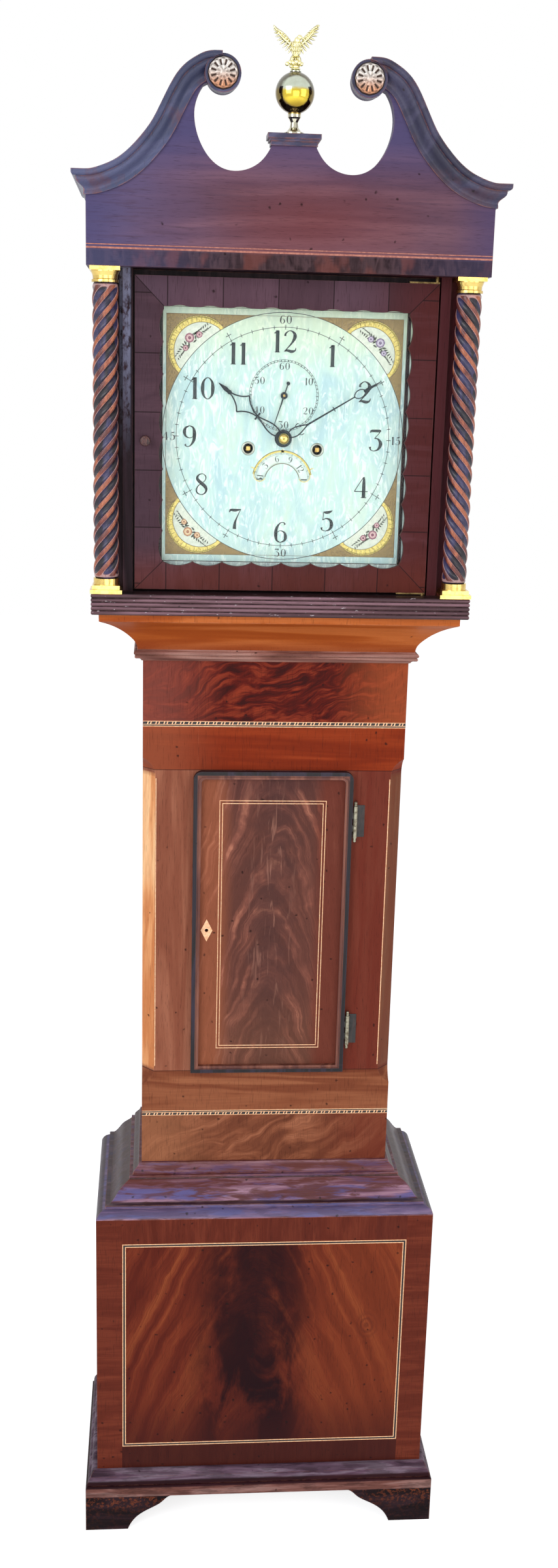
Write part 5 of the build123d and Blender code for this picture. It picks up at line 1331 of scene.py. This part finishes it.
def join_rings(mesh, rings, capped=True):
    count = len(rings[0])
    for first, second in zip(rings, rings[1:]):
        for step in range(count):
            after = (step + 1) % count
            mesh.faces.new((first[step], first[after], second[after], second[step]))
    if capped:
        mesh.faces.new(rings[0])
        mesh.faces.new(list(reversed(rings[-1])))


def turned_piece(name, profile, centre, finish, body, sides=48):
    mesh = bmesh.new()
    rings = []
    for radius, depth in profile:
        ring = []
        for step in range(sides):
            angle = math.tau * step / sides
            ring.append(mesh.verts.new((centre[0] + radius * math.cos(angle), centre[1] + depth,
                                        centre[2] + radius * math.sin(angle))))
        rings.append(ring)
    join_rings(mesh, rings + rings[:1], False)
    solid_piece(name, mesh, finish, body)


def winding_hole_rims(finish):
    profile = [(0.0062, -0.0002), (0.0066, -0.0009), (0.0078, -0.0011), (0.0088, -0.0006), (0.009, -0.0001),
               (0.0083, 0.0002), (0.0083, 0.0012), (0.0064, 0.0012)]
    for index, (x, z) in enumerate(winding_holes):
        turned_piece("winding_hole_rim_%d" % index, profile, (x, dial_face - 0.00002, z), finish, "case")


def twist_radius(share, ends):
    from_groove = abs(share - 0.5) * 2.0
    if from_groove < 0.60:
        drop = 0.0007 + 0.0031 * math.sqrt(max(0.0, 1.0 - (from_groove / 0.60) ** 2))
    else:
        drop = 0.0007 * ((1.0 - from_groove) / 0.40) ** 2
    return 0.0166 - drop * ends


def twisted_columns(finish):
    mesh = bmesh.new()
    low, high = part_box("front_columns")
    bottom = low[2]
    top = high[2]
    sides = 120
    rounds = 280
    for side in (-1, 1):
        rings = []
        for level in range(rounds + 1):
            z = bottom + (top - bottom) * level / rounds
            near = min(z - bottom, top - z)
            ends = min(1.0, max(0.0, (near - 0.0030) / 0.0090))
            neck = 1.0 - 0.16 * max(0.0, 1.0 - near / 0.0070) ** 2
            ring = []
            for step in range(sides):
                angle = math.tau * step / sides
                share = (twist_strands * (angle / math.tau - (z - bottom) / twist_lead)) % 1.0
                radius = twist_radius(share, ends) * neck
                x = side * (column_side - radius * math.cos(angle + 1.2))
                ring.append(mesh.verts.new((x, column_depth + radius * math.sin(angle + 1.2), z)))
            rings.append(ring)
        join_rings(mesh, rings)
    made = solid_piece("rope_twist_columns", mesh, finish, "hood")
    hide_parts("front_columns")


def dial_surround(finish):
    mesh = bmesh.new()
    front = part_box("dial_mask")[0][1]
    for x0, x1, z0, z1 in ((-margin_outer, -margin_inner, -margin_outer, margin_outer),
                           (margin_inner, margin_outer, -margin_outer, margin_outer),
                           (-margin_inner, margin_inner, margin_inner, margin_outer),
                           (-margin_inner, margin_inner, -margin_outer, -margin_inner)):
        lay_box(mesh, x0, x1, hands_z + z0, hands_z + z1, front - 0.0004, front)
    solid_piece("dial_surround", mesh, finish, "hood", False)


# Painted shadow: dark tubes behind the winding holes stand for the shade inside them.
def winding_hole_linings(finish):
    profile = [(0.0063, 0.0002), (0.007, 0.0002), (0.0082, 0.0014), (0.0082, 0.0096), (0.004, 0.0096),
               (0.004, 0.0088), (0.0063, 0.008)]
    for index, (x, z) in enumerate(winding_holes):
        turned_piece("winding_hole_shadow_tube_%d" % index, profile, (x, dial_face, z), finish, "case")


def hand_boss(finish):
    profile = [(0.0002, -0.0028), (0.003, -0.0025), (0.0055, -0.0015), (0.0069, -0.0001), (0.0071, 0.0006),
               (0.0002, 0.0006)]
    centre = (0.0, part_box("minute_hand")[0][1] - 0.0006, hands_z)
    turned_piece("hand_boss", profile, centre, finish, "minute")


def rosette_height(radius, angle):
    ray = abs(math.cos(6.0 * angle))
    if radius > 0.0172:
        return 0.0024 * (1.0 - (radius - 0.0172) / 0.0018)
    if radius > 0.0152:
        return 0.0026 - 0.0008 * ray
    if radius > 0.0085:
        return 0.0010 + 0.0017 * ray
    if radius > 0.0040:
        return 0.0020 + 0.0014 * abs(math.cos(4.0 * angle + 0.4))
    return 0.0038 - 0.0009 * (radius / 0.0040) ** 2


def rosette_faces(finish):
    radii = [0.0003, 0.0015, 0.0028, 0.0038, 0.0042, 0.0055, 0.007, 0.0082, 0.0088, 0.0105, 0.0125, 0.0145,
             0.0151, 0.0155, 0.0168, 0.0176, 0.0185, 0.0189]
    mesh = bmesh.new()
    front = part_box("rosettes")[1][1]
    for side in (-1, 1):
        rings = []
        for radius in radii:
            ring = []
            for step in range(144):
                angle = math.tau * step / 144
                reach = radius * (1.0 - 0.018 * abs(math.sin(6.0 * angle)) * (radius > 0.015))
                depth = front - 0.0006 - rosette_height(radius, angle)
                ring.append(mesh.verts.new((side * rosette_side + reach * math.cos(angle), depth,
                                            rosette_z + reach * math.sin(angle))))
            rings.append(ring)
        rings.append([mesh.verts.new((vertex.co.x, front, vertex.co.z)) for vertex in rings[-1]])
        join_rings(mesh, rings)
    made = solid_piece("rayed_rosettes", mesh, finish, "hood")
    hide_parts("rosettes")


def lay_bar(mesh, corners, y_front, y_back):
    front = [mesh.verts.new((x, y_front, z)) for x, z in corners]
    back = [mesh.verts.new((x, y_back, z)) for x, z in corners]
    mesh.faces.new(front)
    mesh.faces.new(list(reversed(back)))
    for index in range(len(corners)):
        after = (index + 1) % len(corners)
        mesh.faces.new((front[index], front[after], back[after], back[index]))


def lay_box(mesh, x0, x1, z0, z1, y_front, y_back):
    lay_bar(mesh, [(x0, z0), (x1, z0), (x1, z1), (x0, z1)], y_front, y_back)


def lay_frame(mesh, half, low, high, across, y_front, y_back):
    lay_box(mesh, -half, -half + across, low, high, y_front, y_back)
    lay_box(mesh, half - across, half, low, high, y_front, y_back)
    lay_box(mesh, -half + across, half - across, low, low + across, y_front, y_back)
    lay_box(mesh, -half + across, half - across, high - across, high, y_front, y_back)


def inlaid_lines(pale_finish, dark_finish):
    pale = bmesh.new()
    dark = bmesh.new()
    proud = trunk_face - 0.0004
    for centre, line_side in ((band_above_z, -1), (band_below_z, 1)):
        for edge in (-1, 1):
            middle = centre + edge * 0.0022
            lay_box(pale, -trunk_half, trunk_half, middle - 0.0004, middle + 0.0004, proud, trunk_face)
        ends = sorted((centre + line_side * 0.0026, centre + line_side * 0.0043))
        lay_box(dark, -trunk_half, trunk_half, *ends, trunk_face - 0.0003, trunk_face)
        line = centre + line_side * 0.0048
        lay_box(pale, -trunk_half, trunk_half, line - 0.0005, line + 0.0005, proud, trunk_face)
        run = -trunk_half
        turn = 0
        while run < trunk_half - 0.001:
            end = min(run + (0.0056, 0.0016, 0.0026, 0.0016)[turn % 4], trunk_half)
            lean = 0.0011
            low, high = (centre - 0.0018, centre + 0.0018)
            corners = [(run, low), (end, low), (min(end + lean, trunk_half), high),
                       (min(run + lean, trunk_half), high)]
            lay_bar(dark if turn % 2 == 0 else pale, corners, proud, trunk_face)
            run = end
            turn += 1
    lay_frame(pale, 0.212, 0.136, 0.485, 0.0012, base_face - 0.0004, base_face)
    lay_frame(pale, 0.208, 0.14, 0.481, 0.0012, base_face - 0.0004, base_face)
    lay_frame(dark, 0.2106, 0.1374, 0.4836, 0.0025, base_face - 0.0003, base_face)
    for side in (-1, 1):
        edges = sorted((side * 0.1651, side * 0.1663))
        lay_box(pale, edges[0], edges[1], 0.741, 1.181, proud, trunk_face)
    pale_piece = solid_piece("case_pale_lines", pale, pale_finish, "case", False)
    solid_piece("case_dark_lines", dark, dark_finish, "case", False)
    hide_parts("case_inlay")


def lay_blade(mesh, root, tip, wide, deep, flat=Vector((0.0, 1.0, 0.0)), bow=0.0):
    along = tip - root
    side = along.normalized().cross(flat).normalized()
    rings = []
    for share, width in ((0.0, 0.35), (0.2, 0.8), (0.5, 1.0), (0.78, 0.72), (0.93, 0.34)):
        centre = root + along * share + side * bow * math.sin(math.pi * share)
        rings.append([mesh.verts.new(centre + side * wide * width / 2),
                      mesh.verts.new(centre - flat * deep * width / 2),
                      mesh.verts.new(centre - side * wide * width / 2),
                      mesh.verts.new(centre + flat * deep * width / 2)])
    join_rings(mesh, rings, False)
    mesh.faces.new(list(reversed(rings[0])))
    point = mesh.verts.new(tip)
    for corner in range(4):
        mesh.faces.new((rings[-1][corner], rings[-1][(corner + 1) % 4], point))


def lay_egg(mesh, centre, size, lean=0.0, sides=16, rounds=10):
    egg = bmesh.ops.create_uvsphere(mesh, u_segments=sides, v_segments=rounds, radius=1.0)
    turn = Matrix.Rotation(lean, 3, "Y")
    for vertex in egg["verts"]:
        ruffle = 1.0 + 0.05 * math.sin(9.0 * vertex.co.x + 3.0) * math.sin(11.0 * vertex.co.z)
        shaped = Vector((vertex.co.x * size[0], vertex.co.y * size[1], vertex.co.z * size[2])) * ruffle
        vertex.co = centre + turn @ shaped


def eagle_figure(finish):
    mesh = bmesh.new()

    def spot(x, z, y=0.0):
        return Vector((x, eagle_depth + y, eagle_floor + z))

    lay_egg(mesh, spot(0.0, 0.0012), (0.0062, 0.0062, 0.0012))
    lay_egg(mesh, spot(0.0, 0.004), (0.0042, 0.0042, 0.003))
    for x, z, y in ((-0.0105, 0.0068, -0.001), (-0.007, 0.0085, -0.003), (-0.0035, 0.0078, -0.004),
                    (0.0005, 0.0088, -0.0045), (0.004, 0.0082, -0.003), (0.0068, 0.0072, -0.001),
                    (-0.0052, 0.0052, 0.002), (0.003, 0.0052, 0.002)):
        lay_egg(mesh, spot(x, z, y), (0.0026, 0.0024, 0.0026), sides=10, rounds=8)
    for side in (-1, 1):
        for step in range(4):
            root = spot(side * 0.0034, 0.0165 - step * 0.0014)
            lay_blade(mesh, root, spot(side * (0.0052 + 0.0006 * step), 0.009 - step * 0.0004), 0.003, 0.0028)
    lay_egg(mesh, spot(0.0, 0.0245), (0.0062, 0.0048, 0.0105))
    lay_egg(mesh, spot(0.0012, 0.0335, -0.001), (0.0036, 0.0034, 0.0042), 0.3)
    lay_egg(mesh, spot(0.004, 0.0368, -0.0018), (0.0032, 0.0028, 0.0028), 0.5)
    lay_blade(mesh, spot(0.006, 0.037, -0.002), spot(0.0104, 0.0352, -0.0026), 0.0022, 0.002, bow=-0.0005)
    for step in range(5):
        root = spot(-0.003 + 0.0015 * step, 0.018, 0.003)
        lay_blade(mesh, root, spot(-0.0068 + 0.0034 * step, 0.01, 0.004), 0.0032, 0.0014)
    for row in range(3):
        for step in range(5):
            root = spot(-0.004 + 0.002 * step, 0.032 - row * 0.0052, -0.0034 - 0.0009 * row)
            lay_blade(mesh, root, root + Vector((0.0002 * (step - 2), -0.0008, -0.0052)), 0.0026, 0.0012)
    for side, reach, lift in ((-1, 0.0275, 0.048), (1, 0.0268, 0.0525)):
        shoulder = Vector((side * 0.004, 0.029))
        wrist = Vector((side * reach * 0.86, lift - 0.0045))
        for share_long, count, deep, out in ((1.0, 11, 0.0012, 0.0008), (0.62, 10, 0.0014, -0.0004),
                                             (0.36, 9, 0.0016, -0.0014)):
            for step in range(count):
                share = step / (count - 1)
                bend = math.sin(math.pi * share) * 0.003
                root = shoulder.lerp(wrist, share) + Vector((side * bend * -0.35, bend))
                angle = math.radians(-62.0 + 118.0 * share ** 1.15)
                length = (0.0115 - 0.0035 * share + 0.0035 * math.sin(math.pi * share)) * share_long
                tip = root + Vector((side * math.cos(angle), math.sin(angle))) * length
                tip.x = side * min(abs(tip.x), 0.029)
                tip.y = min(tip.y, 0.0524)
                lay_blade(mesh, spot(root.x, root.y, out), spot(tip.x, tip.y, out + 0.0006), 0.003, deep)
        lay_blade(mesh, spot(side * 0.003, 0.027), spot(wrist.x, wrist.y), 0.0042, 0.004, bow=side * -0.0016)
    made = solid_piece("spread_eagle", mesh, finish, "hood")
    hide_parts("finial_eagle")


def twisted_line(name, node, side, finish):
    barrel_x = side * 0.046 - 0.026
    fixed_x = barrel_x + 0.05
    middle_x = barrel_x + 0.025
    line_y = 0.007
    radius = 0.0008
    pulley_z = 0.59
    top = 1.6375
    seat = 1.58
    track = []
    for step in range(210):
        track.append(Vector((barrel_x, line_y, top - (top - pulley_z) * step / 210)))
    for step in range(30):
        angle = math.pi * (1 + step / 30)
        track.append(Vector((middle_x + 0.025 * math.cos(angle), line_y, pulley_z + 0.025 * math.sin(angle))))
    for step in range(200):
        track.append(Vector((fixed_x, line_y, pulley_z + (seat - pulley_z) * step / 199)))
    mesh = bmesh.new()
    rings = []
    walked = 0.0
    for index, spot in enumerate(track):
        before = track[max(index - 1, 0)]
        after = track[min(index + 1, len(track) - 1)]
        ahead = (after - before).normalized()
        flat = Vector((0.0, 1.0, 0.0))
        cross = ahead.cross(flat).normalized()
        walked += (spot - before).length
        ring = []
        for corner in range(9):
            angle = math.tau * corner / 9
            bulge = radius * (1.0 + 0.14 * math.cos(3 * angle))
            spin = angle + walked * 900.0
            ring.append(mesh.verts.new(spot + flat * bulge * math.cos(spin) + cross * bulge * math.sin(spin)))
        rings.append(ring)
    join_rings(mesh, rings)
    knot = bmesh.ops.create_uvsphere(mesh, u_segments=14, v_segments=10, radius=0.0026)
    for vertex in knot["verts"]:
        lean = math.atan2(vertex.co.y, vertex.co.x)
        vertex.co *= 1.0 + 0.1 * math.sin(3 * lean + vertex.co.z * 1800.0)
        vertex.co += Vector((fixed_x, line_y, seat + 0.0006))
    made = solid_piece(name, mesh, finish, "case")
    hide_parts(node)
    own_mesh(made)


def dress(finish, *names):
    for name in names:
        for place in nodes[name].material_slots:
            place.material = finish

# Studio
aim_camera()
soft_lamp("window_lamp", (-2.6, -3.0, 2.6), (0.0, 0.0, 1.1), (2.2, 2.6), 84.0, (0.93, 0.96, 1.0))
soft_lamp("right_lamp", (2.8, -2.6, 1.8), (0.0, 0.0, 1.0), (2.0, 2.4), 36.0, (1.0, 0.96, 0.92))
soft_lamp("front_lamp", (0.2, -4.2, 1.2), (0.0, 0.0, 0.9), (2.6, 2.2), 36.0, (1.0, 0.98, 0.96))
studio_air(0.50, (0.92, 0.95, 1.0, 1.0))
studio_floor()

# Wood
inside_wood = wood("carcass_oak", [(122, 78, 52), (148, 100, 68), (170, 122, 86)], along_height, 14.0, 16.0,
                   0.4, 5.0, worn_and_highlight=(190, 160, 120), gloss=0.65, coat=0.0)
mask_wood = wood("dial_mask_mahogany", [(20, 12, 16), (34, 22, 26), (50, 34, 38)], along_height, 18.0, 9.0)
side_wood = wood("trunk_side_mahogany", [(84, 38, 26), (120, 62, 44), (150, 86, 62)], along_height, 12.0, 12.0)
dress(inside_wood, "backboard")
dress(base_finish(), "base_panels")
dress(plinth_finish(), "base_top_moulding")
dress(foot_finish(), "foot_moulding_and_feet")
dress(side_wood, "trunk_sides_and_seat_board")
dress(trunk_front_finish(), "trunk_front_frame")
dress(throat_finish(), "throat_moulding")
dress(trunk_door_finish(), "trunk_door_panel")
dress(lip_finish(), "trunk_door_moulding")
dress(carcass_finish(), "hood_carcass")
dress(reed_finish(), "hood_base_frame")
dress(mask_wood, "dial_mask")
dress(pediment_finish(), "pediment_board")
dress(cornice_finish(), "cornice_mouldings", "plinth_cap")
twisted_columns(twist_finish())
dress(hood_door_finish(), "hood_door_frame")

# Inlay
boxwood = pigment("boxwood_line", (236, 172, 126), (255, 212, 166), 260.0, 0.4)
ebony = pigment("dark_line", (10, 4, 4), (26, 12, 12), 300.0, 0.5)
frieze_line = pigment("frieze_line", (150, 82, 70), (192, 124, 104), 260.0, 0.4)
dress(frieze_line, "frieze_stringing")
dress(boxwood, "trunk_door_inlay")
inlaid_lines(boxwood, ebony)

# Metal
bright_brass = metal("polished_brass", (226, 196, 116), (150, 112, 56), 0.14, 0.45, 90.0, wear=0.4)
eagle_brass = metal("eagle_brass", (244, 236, 184), (176, 160, 112), 0.24, 0.35, 160.0, wear=0.5)
movement_brass = metal("movement_brass", (196, 160, 92), (122, 92, 50), 0.3, 0.6, 50.0, wear=0.3)
weight_brass = metal("weight_brass", (206, 172, 100), (130, 98, 54), 0.2, 0.6, 30.0)
polished_steel = metal("polished_steel", (176, 176, 178), (104, 98, 94), 0.25, 0.5, 60.0, wear=0.3)
blued_steel = metal("blued_steel", (38, 46, 52), (24, 26, 30), 0.32, 0.5, 120.0, wear=0.3, level=0.8)
dark_iron = metal("dark_iron", (84, 78, 74), (58, 44, 38), 0.5, 0.7, 70.0, wear=0.4)
bell_bronze = metal("bell_bronze", (190, 172, 128), (140, 118, 76), 0.24, 0.5, 40.0)
rim_metal = metal("rim_metal", (176, 178, 168), (120, 118, 104), 0.3, 0.5, 120.0)
dress(bright_brass, "column_brasses")
dress(ball_finish(), "finial_ball")
eagle_figure(eagle_brass)
rosette_faces(rosette_finish())
dress(hinge_finish(), "trunk_hinge_leaves", "trunk_door_hinge_leaves")
dress(hood_brass_finish(), "hood_door_brasses")
dress(movement_brass, "centre_arbor", "third_arbor", "escape_arbor", "going_great_wheel",
      "strike_great_wheel", "going_barrel", "strike_barrel", "minute_wheel", "pin_wheel_arbor",
      "gathering_arbor", "fly_arbor", "movement_frame")
dress(weight_brass, "going_weight", "strike_weight", "going_pulley", "strike_pulley", "pendulum_bob",
      "rating_nut")
dress(polished_steel, "anchor", "pendulum_rod", "hammer", "lock_bolt")
dress(blued_steel, "hour_hand", "minute_hand", "seconds_hand")
dress(dark_iron, "trunk_door_lock")
dress(bell_bronze, "bell")

# Glass and dial
dress(clear_glass(), "hood_door_glass")
dress(dial_paint("dial_enamel", (192, 219, 213), (172, 204, 210), (204, 222, 206)), "dial")
dress(dial_paint("calendar_enamel", (214, 230, 222), (196, 214, 210), (226, 232, 216)), "calendar_disc")
ink = pigment("dial_ink", (14, 24, 28), (52, 66, 70), 420.0, 0.5)
gilt = pigment("corner_gilt", (190, 166, 84), (232, 214, 126), 500.0, 0.32, 0.35)
gilt_shade = pigment("gilt_shade", (78, 62, 34), (120, 98, 52), 500.0, 0.5)
margin_paint = dial_paint("dial_margin", (196, 210, 208), (166, 180, 184), (214, 220, 204))
hole_shadow_paint = pigment("hole_shadow", (8, 10, 10), (20, 20, 20), 300.0, 0.7)
ground = pigment("corner_ground", (104, 84, 54), (196, 164, 104), 900.0, 0.5)
cream = pigment("corner_cream", (206, 212, 196), (230, 232, 218), 200.0, 0.4)
leaf_green = pigment("leaf_green", (50, 56, 48), (92, 98, 80), 900.0, 0.5)
bloom_shades = {
    "rose": [((118, 62, 84), (160, 102, 118)), ((182, 128, 138), (212, 170, 172)),
             ((214, 178, 176), (232, 206, 198))],
    "lilac": [((104, 86, 120), (146, 128, 156)), ((168, 152, 178), (196, 184, 204)),
              ((204, 194, 212), (226, 218, 226))],
    "straw": [((160, 98, 74), (190, 138, 100)), ((206, 166, 124), (224, 194, 150)),
              ((224, 196, 158), (236, 218, 186))]}
blooms = [[pigment("%s_%s" % (flower, depth), *pair, 900.0)
           for depth, pair in zip(("deep", "mid", "pale"), pairs)]
          for flower, pairs in bloom_shades.items()]
dial_figures(ink)
calendar_figures(ink, gilt, gilt_shade)
corner_painting(ground, gilt, gilt_shade, cream, blooms, leaf_green)
winding_hole_rims(rim_metal)
dial_surround(margin_paint)
winding_hole_linings(hole_shadow_paint)
hand_boss(bright_brass)

# Lines
gut = pigment("twisted_gut", (150, 118, 70), (200, 170, 116), 700.0, 0.5)
twisted_line("going_gut", "going_line", 1, gut)
twisted_line("strike_gut", "strike_line", -1, gut)
